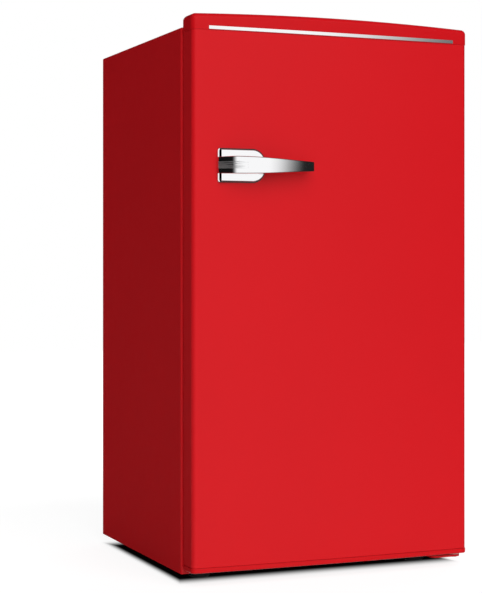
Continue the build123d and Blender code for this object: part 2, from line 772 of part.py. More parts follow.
def upper_hinge_bush():
    """Sleeve in the boss of the top cap."""
    return bush(UPPER_BOSS_FOOT, POCKET_FLOOR, POCKET_FLOOR + BUSH_FLANGE)


def lower_hinge_bush():
    """Sleeve in the boss of the bottom cap; its flange stands on the lower plate."""
    return bush(LOWER_BOSS_HEAD, DOOR_BOTTOM, PAN_TOP + HINGE_PLATE + BUSH_GAP)


# Door

def door_plan(grow, back=DOOR_BACK):
    """Door seen from above: flat back, rounded front corners and a crowned front."""
    half = DOOR_HALF + grow
    face = DOOR_FACE - grow
    sides = Polyline((-half, face), (-half, back), (half, back), (half, face))
    front = ThreePointArc((half, face), (0, face - DOOR_CROWN), (-half, face))
    outline = make_face(sides.edges() + front.edges())
    return fillet(outline.vertices().sort_by(Axis.Y)[:2], DOOR_EDGE_RADIUS + grow)


def handle_screw_places():
    """Positions across and up of the two screws behind the pull."""
    reach = HANDLE_SCREW_PITCH / 2
    return [(HANDLE_MIDDLE - reach, HANDLE_Z), (HANDLE_MIDDLE + reach, HANDLE_Z)]


def handle_screw(x, z):
    """Screw driven from behind the skin into the plate of the pull."""
    head_back = DOOR_FACE + SCREW_HEAD_HEIGHT + STEEL
    tip = DOOR_FACE - PAD_FRONT + CAP_WALL
    head_front = DOOR_FACE - DOOR_CROWN * (1 - (x / DOOR_HALF) ** 2) + 2 * STEEL
    shank = Pos(x, tip, z) * Rot(-90, 0, 0) * Cylinder(
        HANDLE_SCREW_RADIUS, head_front - tip, align=(Align.CENTER, Align.CENTER, Align.MIN)
    )
    head = Pos(x, head_front, z) * Rot(-90, 0, 0) * Cylinder(
        2 * HANDLE_SCREW_RADIUS, head_back - head_front, align=(Align.CENTER, Align.CENTER, Align.MIN)
    )
    return shank + head


def handle_screws():
    """The two screws of the pull."""
    return group(handle_screw(x, z) for x, z in handle_screw_places())


def door_skin():
    """Painted front sheet: crowned face, rounded corners, sides and turned-in back flanges."""
    outer = upright(door_plan(0), SKIN_BOTTOM, SKIN_TOP)
    inner = upright(door_plan(-STEEL, CORE_BACK), SKIN_BOTTOM, SKIN_TOP)
    half = DOOR_HALF - DOOR_RETURN
    mouth = block((-half, half), (CORE_BACK - STEEL, DOOR_BACK + STEEL), (SKIN_BOTTOM, SKIN_TOP))
    return outer - inner - mouth - handle_screws()


def plug_ring(z_low, z_high):
    """Skirt of an end cap that fits inside the skin."""
    outer = upright(door_plan(-PLUG_INSET, CORE_BACK - PLUG_CLEARANCE), z_low, z_high)
    inset = PLUG_INSET + CAP_WALL
    return outer - upright(door_plan(-inset, CORE_BACK - PLUG_CLEARANCE - CAP_WALL), z_low, z_high)


def top_cap_form():
    """Outside of the top cap: crowned plan under an arched roof, with all top edges rounded."""
    reach = DOOR_HALF + CAP_OVERHANG
    radius = (reach**2 + TOP_CAP_CROWN**2) / (2 * TOP_CAP_CROWN)
    arch = Pos(0, CAP_TOP + TOP_CAP_CROWN - radius) * Circle(radius)
    form = upright(door_plan(CAP_OVERHANG), SKIN_TOP, CAP_TOP + 2 * TOP_CAP_CROWN)
    form &= through(arch, DOOR_FACE - DOOR_DEPTH, DOOR_BACK + DOOR_DEPTH)
    roof = form.faces().sort_by(Axis.Z)[-1]
    return fillet(roof.edges(), TOP_CAP_ROUNDING)


def strip_space(grow):
    """Band round the front of the top cap where the chrome strip lies."""
    z_low = SKIN_TOP + STRIP_LIFT
    z_high = z_low + STRIP_HEIGHT
    reach = DOOR_HALF - STRIP_INSET
    limits = block((-reach, reach), (DOOR_FACE - DOOR_DEPTH, DOOR_BACK - DOOR_DEPTH / 2), (z_low, z_high))
    band = upright(door_plan(CAP_OVERHANG + grow), z_low, z_high)
    return (band - upright(door_plan(CAP_OVERHANG - STRIP_GROOVE), z_low, z_high)) & limits


def hinge_pocket():
    """Corner of the top cap left open for the upper plate while the door swings."""
    reach = HINGE_NOSE + POCKET_CLEARANCE
    right, rear = HALF + HINGE_NOSE, DOOR_BACK + HINGE_NOSE
    left, front = HINGE_X - reach, HINGE_Y - reach - POCKET_CLEARANCE
    space = block((left, right), (front, rear), (POCKET_FLOOR, TOP + HINGE_PLATE + 2 * POCKET_CLEARANCE))
    corner = space.edges().filter_by(Axis.Z).sort_by_distance((left, front, TOP))[0]
    return fillet(corner, reach)


def door_top_cap():
    """Hollow moulded cap with a strip groove, a skirt, the hinge boss and its pocket."""
    cap = top_cap_form()
    hollow = upright(door_plan(-CAP_WALL, DOOR_BACK - CAP_WALL), SKIN_TOP, CAP_TOP - CAP_WALL)
    hollow = fillet(hollow.faces().sort_by(Axis.Z)[-1].edges(), TOP_CAP_ROUNDING - CAP_WALL)
    boss_side = HINGE_X - HINGE_NOSE - 2 * POCKET_CLEARANCE - CAP_WALL
    hollow &= block((-HALF, boss_side), (DOOR_FACE - DOOR_DEPTH, DOOR_BACK), (SKIN_TOP, CAP_TOP))
    cap = cap - hollow - strip_space(STRIP_PROUD)
    cap += plug_ring(UPPER_BOSS_FOOT, SKIN_TOP)
    cap += rod(HINGE_X, HINGE_Y, UPPER_BOSS_FOOT, SKIN_TOP + CAP_WALL, BUSH_RADIUS + CAP_WALL)
    cap -= hinge_pocket()
    return cap - rod(HINGE_X, HINGE_Y, UPPER_BOSS_FOOT - 1, POCKET_FLOOR + 1, BUSH_RADIUS)


def door_bottom_cap():
    """Shallow moulded cap with a rounded lower edge, a seam groove, a skirt and the hinge boss."""
    cap = upright(door_plan(CAP_OVERHANG), DOOR_BOTTOM, SKIN_BOTTOM)
    cap = fillet(cap.faces().sort_by(Axis.Z)[0].edges(), BOTTOM_CAP_ROUNDING)
    seam = upright(door_plan(CAP_OVERHANG), SKIN_BOTTOM - SEAM_GROOVE, SKIN_BOTTOM)
    cap -= seam - upright(door_plan(-SEAM_GROOVE), SKIN_BOTTOM - SEAM_GROOVE, SKIN_BOTTOM)
    inset = PLUG_INSET + CAP_WALL
    hollow_plan = door_plan(-inset, CORE_BACK - PLUG_CLEARANCE - CAP_WALL)
    cap -= upright(hollow_plan, DOOR_BOTTOM + CAP_WALL, SKIN_BOTTOM)
    cap += plug_ring(SKIN_BOTTOM, LOWER_BOSS_HEAD)
    cap += rod(HINGE_X, HINGE_Y, DOOR_BOTTOM + CAP_WALL / 2, LOWER_BOSS_HEAD, BUSH_RADIUS + CAP_WALL)
    return cap - rod(HINGE_X, HINGE_Y, DOOR_BOTTOM - 1, LOWER_BOSS_HEAD + 1, BUSH_RADIUS)


def trim_strip():
    """Chrome strip that follows the crowned front of the top cap."""
    return strip_space(STRIP_PROUD)


def plateau(inset):
    """Raised middle of the door lining, with sloping sides."""
    face = PLATEAU_FACE - inset
    low = CAVITY_FLOOR + PLATEAU_CLEARANCE + inset
    high = CAVITY_CEILING - PLATEAU_CLEARANCE - inset
    half = CAVITY_HALF - PLATEAU_CLEARANCE - inset
    sketch = Plane.XZ * Pos(0, (low + high) / 2) * RectangleRounded(2 * half, high - low, LINER_RADIUS)
    depth = face - DOOR_BACK
    return Pos(0, face, 0) * extrude(sketch, amount=depth, taper=-PLATEAU_DRAFT)


def dike(name, side):
    """Upright rib of the door lining that carries one end of a bin."""
    x = side * (CAVITY_HALF - DIKE_INSET - DIKE_WIDTH / 2)
    level, height = BINS[name]
    low, high = BOTTOM + level - DIKE_MARGIN, BOTTOM + level + height + DIKE_MARGIN
    top = PLATEAU_FACE + DIKE_RISE
    rib = block(
        (x - DIKE_WIDTH / 2, x + DIKE_WIDTH / 2),
        (PLATEAU_FACE - LINER_WALL / 2, top),
        (low, high),
    )
    ends = rib.edges().filter_by(Axis.X).group_by(Axis.Y)[-1]
    rib = fillet(ends, DIKE_RISE * 0.6)
    return fillet(rib.faces().filter_by(Axis.X).edges().group_by(Axis.Y)[-1], DIKE_WIDTH * 0.3)


def lug_span(side):
    """Reach in X of a bin lug, from inside its rib to its free end."""
    wall = CAVITY_HALF - DIKE_INSET - DIKE_WIDTH
    return sorted((side * (wall + DIKE_WIDTH / 2), side * (wall - LUG_REACH)))


def lug(level, side):
    """Short peg on a rib that a bin hangs on."""
    peg = Pos(PLATEAU_FACE + LUG_FROM_DOOR, BOTTOM + level) * Circle(LUG_RADIUS)
    return across(peg, *lug_span(side))


def lug_levels():
    """Height of the pegs of each bin: two thirds up its ends."""
    return {name: level + height * 0.66 for name, (level, height) in BINS.items()}


def door_liner():
    """Formed inner face of the door: rim, raised middle, a pair of ribs for each bin and their pegs."""
    half = DOOR_HALF - LINER_RIM_INSET
    rim = block((-half, half), (DOOR_BACK, LINER_FACE), (SKIN_BOTTOM, SKIN_TOP))
    raised = plateau(0)
    raised = fillet(raised.faces().sort_by(Axis.Y)[-1].edges(), PLATEAU_ROUNDING)
    liner = rim + raised
    for name, peg_level in lug_levels().items():
        for side in (-1, 1):
            liner += dike(name, side)
            liner += lug(peg_level, side)
    return liner - plateau(LINER_WALL)


def door_foam():
    """Insulation inside the door, between the two cap skirts and out into the raised lining."""
    core = upright(door_plan(-STEEL, CORE_BACK), LOWER_BOSS_HEAD, UPPER_BOSS_FOOT)
    half = DOOR_HALF - DOOR_RETURN
    step = block((-half, half), (CORE_BACK, DOOR_BACK), (LOWER_BOSS_HEAD, UPPER_BOSS_FOOT))
    return core + step + plateau(LINER_WALL) - handle_screws()


def frame_ring(half, low, high, width, radius):
    """Flat rounded ring in X and Z."""
    middle = Pos(0, (low + high) / 2)
    outer = middle * RectangleRounded(2 * half, high - low, radius + width)
    return outer - middle * RectangleRounded(2 * (half - width), high - low - 2 * width, radius)


def door_gasket():
    """Seal: a narrow root on the lining and a wider hollow-looking bulb that meets the cabinet."""
    half = HALF - GASKET_INSET
    low, high = BOTTOM + GASKET_LOWER_LEVEL, TOP - GASKET_INSET
    step = (GASKET_WIDTH - GASKET_BASE_WIDTH) / 2
    root_end = LINER_FACE + GASKET_BASE_HEIGHT
    root = frame_ring(half - step, low + step, high - step, GASKET_BASE_WIDTH, GASKET_BASE_WIDTH / 3)
    bulb = frame_ring(half, low, high, GASKET_WIDTH, GASKET_BASE_WIDTH / 3)
    seal = through(bulb, root_end, FRONT - GASKET_GAP)
    seal = fillet(seal.faces().sort_by(Axis.Y)[-1].edges(), GASKET_BASE_HEIGHT / 2)
    return seal + through(root, LINER_FACE, root_end)


def door_bin(name):
    """Open moulded bin with rounded corners, notched at both ends for its pegs."""
    level, height = BINS[name]
    half = CAVITY_HALF - DIKE_INSET - DIKE_WIDTH - BIN_CLEARANCE
    near = PLATEAU_FACE + BIN_CLEARANCE
    plan = Pos(0, near + BIN_DEPTH / 2) * Rectangle(2 * half, BIN_DEPTH)
    plan = fillet(plan.vertices().group_by(Axis.Y)[-1], BIN_CORNER)
    floor = BOTTOM + level
    outer = upright(plan, floor, floor + height)
    outer = fillet(outer.faces().sort_by(Axis.Z)[0].edges(), BIN_WALL * 1.5)
    hollow = upright(offset(plan, -BIN_WALL), floor + BIN_WALL, floor + height)
    shell = outer - hollow
    z = BOTTOM + lug_levels()[name]
    y = PLATEAU_FACE + LUG_FROM_DOOR
    reach = LUG_RADIUS + SEAT_GAP
    wall = half - 2 * BIN_WALL
    for side in (-1, 1):
        ends = sorted((side * wall, side * (half + BIN_WALL)))
        shell -= across(Pos(y, z) * Circle(reach), *ends)
        shell -= block(ends, (y - reach, y + reach), (floor - BIN_WALL, z))
    return shell


# Pull

def plate_outline(inset):
    """D shape of the plate: tight corners on the left, large rounds on the right."""
    half_height = PLATE_HEIGHT / 2 - inset
    outline = Pos(HANDLE_MIDDLE, HANDLE_Z) * Rectangle(PLATE_LENGTH - 2 * inset, 2 * half_height)
    left = outline.vertices().group_by(Axis.X)[0]
    outline = fillet(left, PLATE_LEFT_RADIUS - inset)
    right = outline.vertices().group_by(Axis.X)[-1]
    return fillet(right, PLATE_RIGHT_RADIUS - inset)


def pad_bevel():
    """Wedge off the left edge of the pad."""
    left, front = HANDLE_LEFT + PAD_INSET, DOOR_FACE - PAD_FRONT
    wedge = Polyline((left, front), (left + PAD_BEVEL, front), (left, front + PAD_BEVEL), close=True)
    return upright(make_face(wedge), HANDLE_Z - PLATE_HEIGHT / 2, HANDLE_Z + PLATE_HEIGHT / 2)


def handle_plate():
    """D-shaped plate with a thin flange and a raised pad, shaped behind to the crowned door."""
    flange = through(plate_outline(0), DOOR_FACE - PLATE_FLANGE, DOOR_FACE)
    pad = through(plate_outline(PAD_INSET), DOOR_FACE - PAD_FRONT, DOOR_FACE)
    pad = fillet(pad.faces().sort_by(Axis.Y)[0].edges(), PAD_ROUNDING)
    plate = flange + pad - pad_bevel()
    plate -= upright(door_plan(0), HANDLE_Z - PLATE_HEIGHT, HANDLE_Z + PLATE_HEIGHT)
    return plate - handle_screws()


def lever_side(sink):
    """Lever seen from above, its front face sunk by a groove depth."""
    root, tip = HANDLE_LEFT, HANDLE_LEFT + LEVER_LENGTH
    seat = DOOR_FACE - PAD_FRONT
    crest = DOOR_FACE - LEVER_REACH + sink
    span = tip - root
    tip_front = crest + LEVER_TIP_DROP
    flange = DOOR_FACE - PLATE_FLANGE
    start = (root, flange - LEVER_EDGE + sink)
    ramp_end = (root + LEVER_RAMP, crest + LEVER_REACH * 0.14)
    top = (root + span * 0.46, crest)
    ramp = Line(start, ramp_end)
    rise = TangentArc(top, ramp_end, tangent=(-1, 0))
    fall = TangentArc(top, (tip, tip_front), tangent=(1, 0))
    tip_back = DOOR_FACE - LEVER_REACH + LEVER_TIP_DROP + LEVER_TIP_THICKNESS
    knee = (root + LEVER_SEAT, seat)
    back = Spline(
        (tip, tip_back),
        (root + span * 0.7, DOOR_FACE - LEVER_REACH + LEVER_TIP_THICKNESS * 1.35),
        knee,
        tangents=[(-1, -0.18), (-0.75, 1)],
    )
    pad_edge = root + PAD_INSET
    hook = [(pad_edge + PAD_BEVEL, seat), (pad_edge, seat + PAD_BEVEL), (pad_edge, flange), (root, flange)]
    base = Polyline(knee, *hook, start)
    end = Line((tip, tip_front), (tip, tip_back))
    curves = (ramp, rise, fall, end, back, base)
    outline = make_face([edge for curve in curves for edge in curve.edges()])
    shoulder = outline.vertices().sort_by_distance((*ramp_end, 0))[0]
    return fillet(shoulder, LEVER_RAMP)


def lever_front():
    """Lever seen from the front: a slight shoulder, then a long taper to the tip."""
    root, tip = HANDLE_LEFT, HANDLE_LEFT + LEVER_LENGTH
    shoulder = root + (tip - root) * 0.2
    edge = Spline(
        (root, LEVER_ROOT_HEIGHT / 2),
        (shoulder, LEVER_SHOULDER_HEIGHT / 2),
        (tip, LEVER_TIP_HEIGHT / 2),
        tangents=[(1, 0.08), (1, -0.055)],
    )
    low_edge = mirror(edge, about=Plane.XZ)
    ends = Line((root, -LEVER_ROOT_HEIGHT / 2), (root, LEVER_ROOT_HEIGHT / 2)).edges()
    ends += Line((tip, -LEVER_TIP_HEIGHT / 2), (tip, LEVER_TIP_HEIGHT / 2)).edges()
    return Pos(0, HANDLE_Z) * make_face(edge.edges() + low_edge.edges() + ends)


def is_free_edge(box):
    """Whether an edge of the lever is to be rounded: clear of the pad and not a smooth join across it."""
    at_end = box.min.X < HANDLE_LEFT + 1 or box.max.X > HANDLE_LEFT + LEVER_LENGTH - 1
    return box.min.Y < DOOR_FACE - PAD_FRONT - LEVER_ROUNDING and (at_end or box.size.X > LEVER_ROUNDING)


def handle_lever():
    """Arched, tapered lever with a lip over the pad's edge and three fine grooves at its root."""
    z_low, z_high = HANDLE_Z - PLATE_HEIGHT / 2, HANDLE_Z + PLATE_HEIGHT / 2
    side = upright(lever_side(0), z_low, z_high)
    lever = side & through(lever_front(), DOOR_FACE - 2 * LEVER_REACH, DOOR_FACE)
    lever = fillet([edge for edge in lever.edges() if is_free_edge(edge.bounding_box())], LEVER_ROUNDING)
    sunk = upright(lever_side(GROOVE_DEPTH), z_low, z_high)
    for index in range(GROOVE_COUNT):
        z = HANDLE_Z + (index - (GROOVE_COUNT - 1) / 2) * GROOVE_PITCH
        slab = block(
            (HANDLE_LEFT + LEVER_ROUNDING, HANDLE_LEFT + GROOVE_LENGTH),
            (DOOR_FACE - 2 * LEVER_REACH, DOOR_FACE),
            (z - GROOVE_WIDTH / 2, z + GROOVE_WIDTH / 2),
        )
        lever -= (slab & side) - sunk
    return lever


# Shelves, freezer box and thermostat

def shelf_span():
    """Half width, front and rear of a sliding shelf."""
    return CAVITY_HALF - SHELF_SIDE_GAP, FRONT + SHELF_FRONT, CAVITY_REAR - SHELF_REAR_GAP


def shelf_glass(name):
    """Glass pane of a shelf, with rounded rear corners."""
    half, front, rear = shelf_span()
    low = BOTTOM + SHELF_LEVELS[name] + SEAT_GAP
    plan = Pos(0, (front + rear) / 2) * Rectangle(2 * half, rear - front - 2 * BIN_WALL)
    plan = fillet(plan.vertices().group_by(Axis.Y)[-1], LINER_RADIUS)
    return upright(plan, low, low + SHELF_GLASS)


def shelf_trim(name):
    """Moulded front edge and rear stop of a shelf, both slotted over the glass."""
    half, front, rear = shelf_span()
    low = BOTTOM + SHELF_LEVELS[name] + SEAT_GAP
    glass_top = low + SHELF_GLASS
    inside = half - LEDGE_WIDTH
    nose = Pos(front + SHELF_TRIM_DEPTH / 2, glass_top + BIN_WALL - SHELF_TRIM_HEIGHT / 2)
    nose *= RectangleRounded(SHELF_TRIM_DEPTH, SHELF_TRIM_HEIGHT, SHELF_TRIM_LIP / 2)
    stop = Pos(rear - SHELF_TRIM_LIP / 2, glass_top + SHELF_TRIM_HEIGHT / 2 - SHELF_TRIM_LIP)
    stop *= RectangleRounded(SHELF_TRIM_LIP, SHELF_TRIM_HEIGHT * 1.5, BIN_WALL)
    bars = across(nose, -inside, inside) + across(stop, -inside, inside)
    return bars - shelf_glass(name)


def evaporator_box():
    """Bent aluminium freezer box, open to the front, with raised refrigerant channels."""
    middle = Pos(0, (FREEZER_BOTTOM + FREEZER_TOP) / 2)
    outer = middle * RectangleRounded(2 * FREEZER_HALF, FREEZER_HEIGHT, FREEZER_RADIUS)
    sheet = 2 * FREEZER_SHEET
    inner = middle * RectangleRounded(
        2 * FREEZER_HALF - sheet, FREEZER_HEIGHT - sheet, FREEZER_RADIUS - FREEZER_SHEET
    )
    box = through(outer, FREEZER_FRONT, FREEZER_BACK)
    box -= through(inner, FREEZER_FRONT, FREEZER_BACK - FREEZER_SHEET)
    pitch = FREEZER_DEPTH / (CHANNEL_COUNT + 1)
    for index in range(CHANNEL_COUNT):
        y = FREEZER_FRONT + (index + 1) * pitch
        section = Pos(y, FREEZER_BOTTOM) * Ellipse(CHANNEL_WIDTH / 2, CHANNEL_RISE)
        channel = across(section, FREEZER_RADIUS - FREEZER_HALF, FREEZER_HALF - FREEZER_RADIUS)
        box += channel - through(inner, FREEZER_FRONT, FREEZER_BACK)
    return box


def evaporator_hangers():
    """Four spacers that hang the freezer box from the ceiling of the lining."""
    reach_x = FREEZER_HALF * 0.8
    rows = (FREEZER_FRONT + FREEZER_DEPTH * 0.2, FREEZER_FRONT + FREEZER_DEPTH * 0.8)
    places = [(x, y) for x in (-reach_x, reach_x) for y in rows]
    return group(rod(x, y, FREEZER_TOP, CAVITY_CEILING, HANGER_RADIUS) for x, y in places)


def ear(side):
    """Bearing for one end of the freezer flap, standing forward of the frame."""
    start = side * (FLAP_HALF + SEAT_GAP)
    span = sorted((start, start + side * EAR_WIDTH))
    head = across(Pos(FLAP_AXIS_Y, FLAP_AXIS_Z) * Circle(EAR_RADIUS), *span)
    web = block(span, (FLAP_AXIS_Y, FRAME_FACE), (FLAP_AXIS_Z - EAR_RADIUS, FLAP_AXIS_Z + EAR_RADIUS))
    bore = Pos(FLAP_AXIS_Y, FLAP_AXIS_Z) * Circle(TRUNNION_RADIUS + RUN_CLEARANCE)
    return head + web - across(bore, *span)


def freezer_frame():
    """Moulded frame round the mouth of the freezer box, with the bearings of its flap."""
    ring = frame_ring(FRAME_HALF, FRAME_BOTTOM, FRAME_TOP, FRAME_BORDER, FREEZER_RADIUS)
    frame = through(ring, FRAME_FACE, FREEZER_FRONT)
    for side in (-1, 1):
        frame += ear(side)
    return frame


def freezer_flap():
    """Drop-down flap with a recessed back, a finger lip and a trunnion at each end."""
    front = FLAP_AXIS_Y - FLAP_THICKNESS / 2
    back = FLAP_AXIS_Y + FLAP_THICKNESS / 2
    panel = block((-FLAP_HALF, FLAP_HALF), (front, back), (FLAP_AXIS_Z, FLAP_TOP))
    panel = fillet(panel.edges().filter_by(Axis.Y).group_by(Axis.Z)[-1], FREEZER_RADIUS)
    panel += across(Pos(FLAP_AXIS_Y, FLAP_AXIS_Z) * Circle(FLAP_THICKNESS / 2), -FLAP_HALF, FLAP_HALF)
    recess = block(
        (FREEZER_RADIUS - FLAP_HALF, FLAP_HALF - FREEZER_RADIUS),
        (front + FLAP_WALL, back),
        (FLAP_AXIS_Z + FLAP_THICKNESS, FLAP_TOP - FREEZER_RADIUS),
    )
    lip_half = FLAP_HALF * 0.3
    lip = Pos(front, FLAP_TOP - FREEZER_RADIUS - FLAP_LIP) * Ellipse(FLAP_LIP, FLAP_LIP / 2)
    flap = panel - recess + across(lip, -lip_half, lip_half)
    pin = Pos(FLAP_AXIS_Y, FLAP_AXIS_Z) * Circle(TRUNNION_RADIUS)
    return flap + across(pin, -FLAP_HALF - TRUNNION_LENGTH, FLAP_HALF + TRUNNION_LENGTH)


def drip_tray():
    """Shallow tray under the freezer box, with side rims that run on the ledges."""
    front = FRAME_FACE - FLAP_THICKNESS
    rear = CAVITY_REAR - FREEZER_REAR_GAP
    plan = Pos(0, (front + rear) / 2) * RectangleRounded(2 * TRAY_HALF, rear - front, LINER_RADIUS)
    outer = upright(plan, TRAY_BOTTOM, TRAY_TOP)
    outer = fillet(outer.faces().sort_by(Axis.Z)[0].edges(), 2 * TRAY_WALL)
    rim_half = CAVITY_HALF - SHELF_SIDE_GAP
    rim_span = (front + LINER_RADIUS, rear - LINER_RADIUS)
    rim = block((-rim_half, rim_half), rim_span, (TRAY_TOP - TRAY_WALL, TRAY_TOP))
    hollow = upright(offset(plan, -TRAY_WALL), TRAY_BOTTOM + TRAY_WALL, TRAY_TOP)
    lip_half = TRAY_HALF * 0.4
    lip = Pos(front - TRAY_LIP / 2, TRAY_TOP - TRAY_WALL)
    lip *= RectangleRounded(TRAY_LIP + 2 * TRAY_WALL, 2 * TRAY_WALL, TRAY_WALL * 0.9)
    return outer + rim + across(lip, -lip_half, lip_half) - hollow


def thermostat_places():
    """Middle of the dial across and up, and the front of its housing."""
    return CAVITY_HALF - THERMOSTAT_WIDTH / 2, TOP - THERMOSTAT_DROP, FRONT + THERMOSTAT_SETBACK


def thermostat_housing():
    """Moulded box on the right wall, bored for the knob's shaft."""
    x, z, front = thermostat_places()
    box = block(
        (CAVITY_HALF - THERMOSTAT_WIDTH, CAVITY_HALF),
        (front, front + THERMOSTAT_DEPTH),
        (z - THERMOSTAT_HEIGHT / 2, z + THERMOSTAT_HEIGHT / 2),
    )
    face_edges = box.faces().sort_by(Axis.Y)[0].edges().sort_by(Axis.X)[1:3]
    box = fillet(box.faces().sort_by(Axis.X)[0].edges() + face_edges, LINER_RADIUS / 2)
    bore = Pos(x, z) * Circle(KNOB_SHAFT_RADIUS + RUN_CLEARANCE)
    return box - through(bore, front - 1, front + KNOB_SHAFT_LENGTH + 1)


def thermostat_knob():
    """Round dial with a finger ridge across its face and a shaft behind."""
    x, z, front = thermostat_places()
    back = front - SEAT_GAP
    face = back - KNOB_DEPTH
    disc = through(Pos(x, z) * Circle(KNOB_RADIUS), back - KNOB_DEPTH / 2, back)
    disc = fillet(disc.edges().group_by(Axis.Y)[0], KNOB_DEPTH / 8)
    ridge = Pos(x, z) * Rot(0, 0, 90) * SlotOverall(2 * KNOB_RADIUS - KNOB_RIDGE / 2, KNOB_RIDGE)
    knob = disc + through(ridge, face, back)
    return knob + through(Pos(x, z) * Circle(KNOB_SHAFT_RADIUS), back, front + KNOB_SHAFT_LENGTH)


# Refrigeration

def compressor_mount_places():
    """Plan positions of the four rubber mounts."""
    return [
        (COMPRESSOR_X + x, COMPRESSOR_Y + y)
        for x in (-MOUNT_HALF_X, MOUNT_HALF_X)
        for y in (-MOUNT_HALF_Y, MOUNT_HALF_Y)
    ]


def compressor_shell():
    """Oval welded pot with a domed top and a seam round its middle."""
    place = Pos(COMPRESSOR_X, COMPRESSOR_Y)
    pot = upright(place * Ellipse(COMPRESSOR_LENGTH / 2, COMPRESSOR_WIDTH / 2), SHELL_BOTTOM, SHELL_TOP)
    pot = fillet(pot.edges().sort_by(Axis.Z)[-1], COMPRESSOR_DOME)
    pot = fillet(pot.edges().sort_by(Axis.Z)[0], COMPRESSOR_BELLY)
    seam_z = SHELL_BOTTOM + COMPRESSOR_HEIGHT * 0.55
    seam = place * Ellipse(COMPRESSOR_LENGTH / 2 + SEAM_WIDTH, COMPRESSOR_WIDTH / 2 + SEAM_WIDTH)
    return pot + upright(seam, seam_z, seam_z + SEAM_HEIGHT)


def compressor():
    """Pot on its pressed foot plate, which is holed for the rubber mounts."""
    margin = 1.5 * GROMMET_RADIUS
    plate = Pos(COMPRESSOR_X, COMPRESSOR_Y)
    plate *= RectangleRounded(2 * (MOUNT_HALF_X + margin), 2 * (MOUNT_HALF_Y + margin), margin)
    base = upright(plate, MOUNT_TOP, SHELL_BOTTOM)
    for x, y in compressor_mount_places():
        base -= rod(x, y, MOUNT_TOP - 1, SHELL_BOTTOM + 1, GROMMET_NECK + SEAT_GAP)
    return base + compressor_shell()


def compressor_grommets():
    """Four waisted rubber mounts between the pan and the foot plate."""
    top = SHELL_BOTTOM + GROMMET_COLLAR
    section = [
        (BOLT_RADIUS, PAN_TOP),
        (GROMMET_RADIUS, PAN_TOP),
        (GROMMET_RADIUS, MOUNT_TOP),
        (GROMMET_NECK, MOUNT_TOP),
        (GROMMET_NECK, SHELL_BOTTOM),
        (GROMMET_RADIUS, SHELL_BOTTOM),
        (GROMMET_RADIUS, top),
        (BOLT_RADIUS, top),
    ]
    return group(turned(section, x, y) for x, y in compressor_mount_places())


def compressor_bolts():
    """Four bolts through the rubber mounts, headed on top."""
    seat = SHELL_BOTTOM + GROMMET_COLLAR
    bolts = []
    for x, y in compressor_mount_places():
        shank = rod(x, y, BOTTOM, seat, BOLT_RADIUS)
        head = upright(Pos(x, y) * RegularPolygon(BOLT_HEAD_RADIUS, 6), seat, seat + BOLT_HEAD_HEIGHT)
        bolts.append(shank + head)
    return group(bolts)


def terminal_cover():
    """Moulded cover over the compressor's terminals, shaped to the pot."""
    left = COMPRESSOR_X - COMPRESSOR_LENGTH / 2 - TERMINAL_DEPTH
    low = SHELL_BOTTOM + TERMINAL_LIFT
    box = block(
        (left, COMPRESSOR_X - COMPRESSOR_LENGTH / 4),
        (COMPRESSOR_Y - TERMINAL_WIDTH / 2, COMPRESSOR_Y + TERMINAL_WIDTH / 2),
        (low, low + TERMINAL_HEIGHT),
    )
    box = fillet(box.faces().sort_by(Axis.X)[0].edges(), TERMINAL_DEPTH / 5)
    cover = box - compressor_shell()
    return cover.solids().sort_by(Axis.X)[0]


def cord_gland():
    """Rubber bush in the rear face of the terminal cover, empty."""
    x = COMPRESSOR_X - COMPRESSOR_LENGTH / 2 - TERMINAL_DEPTH / 2
    z = SHELL_BOTTOM + TERMINAL_LIFT + TERMINAL_HEIGHT / 2
    face = COMPRESSOR_Y + TERMINAL_WIDTH / 2
    ring = Pos(x, z) * (Circle(GLAND_RADIUS) - Circle(GLAND_BORE))
    gland = through(ring, face, face + GLAND_LENGTH)
    rim = gland.faces().sort_by(Axis.Y)[-1].edges().sort_by(SortBy.LENGTH)[-1]
    return fillet(rim, (GLAND_RADIUS - GLAND_BORE) / 2)


def evaporation_tray():
    """Shallow tray on the compressor, where the defrost water dries off."""
    place = Pos(COMPRESSOR_X, COMPRESSOR_Y)
    plan = place * RectangleRounded(EVAPORATION_TRAY_LENGTH, EVAPORATION_TRAY_WIDTH, LINER_RADIUS)
    outer = upright(plan, SHELL_TOP, SHELL_TOP + EVAPORATION_TRAY_HEIGHT)
    outer = fillet(outer.faces().sort_by(Axis.Z)[0].edges(), 2 * EVAPORATION_TRAY_WALL)
    floor = SHELL_TOP + EVAPORATION_TRAY_WALL
    return outer - upright(offset(plan, -EVAPORATION_TRAY_WALL), floor, SHELL_TOP + EVAPORATION_TRAY_HEIGHT)


def drain_tube():
    """Tube that leads the defrost water from the lining down to its tray."""
    low = SHELL_TOP + EVAPORATION_TRAY_HEIGHT / 2
    high = HUMP_TOP - LINER_WALL
    return rod(DRAIN_X, DRAIN_Y, low, high, DRAIN_RADIUS) - rod(DRAIN_X, DRAIN_Y, low, high, DRAIN_BORE)


def suction_tube():
    """Return line from the freezer box down the rear wall to the compressor."""
    y = COMPRESSOR_Y - COMPRESSOR_WIDTH / 8
    z = PAN_TOP + SUCTION_LIFT
    start_x = COMPRESSOR_END - SEAM_WIDTH
    points = [
        (start_x, y, z),
        (SUCTION_X, y, z),
        (SUCTION_X, SUCTION_Y, z),
        (SUCTION_X, SUCTION_Y, EVAPORATOR_MIDDLE),
        (SUCTION_X, FREEZER_BACK, EVAPORATOR_MIDDLE),
    ]
    return tube(points, TUBE_BEND, SUCTION_RADIUS) - compressor_shell()


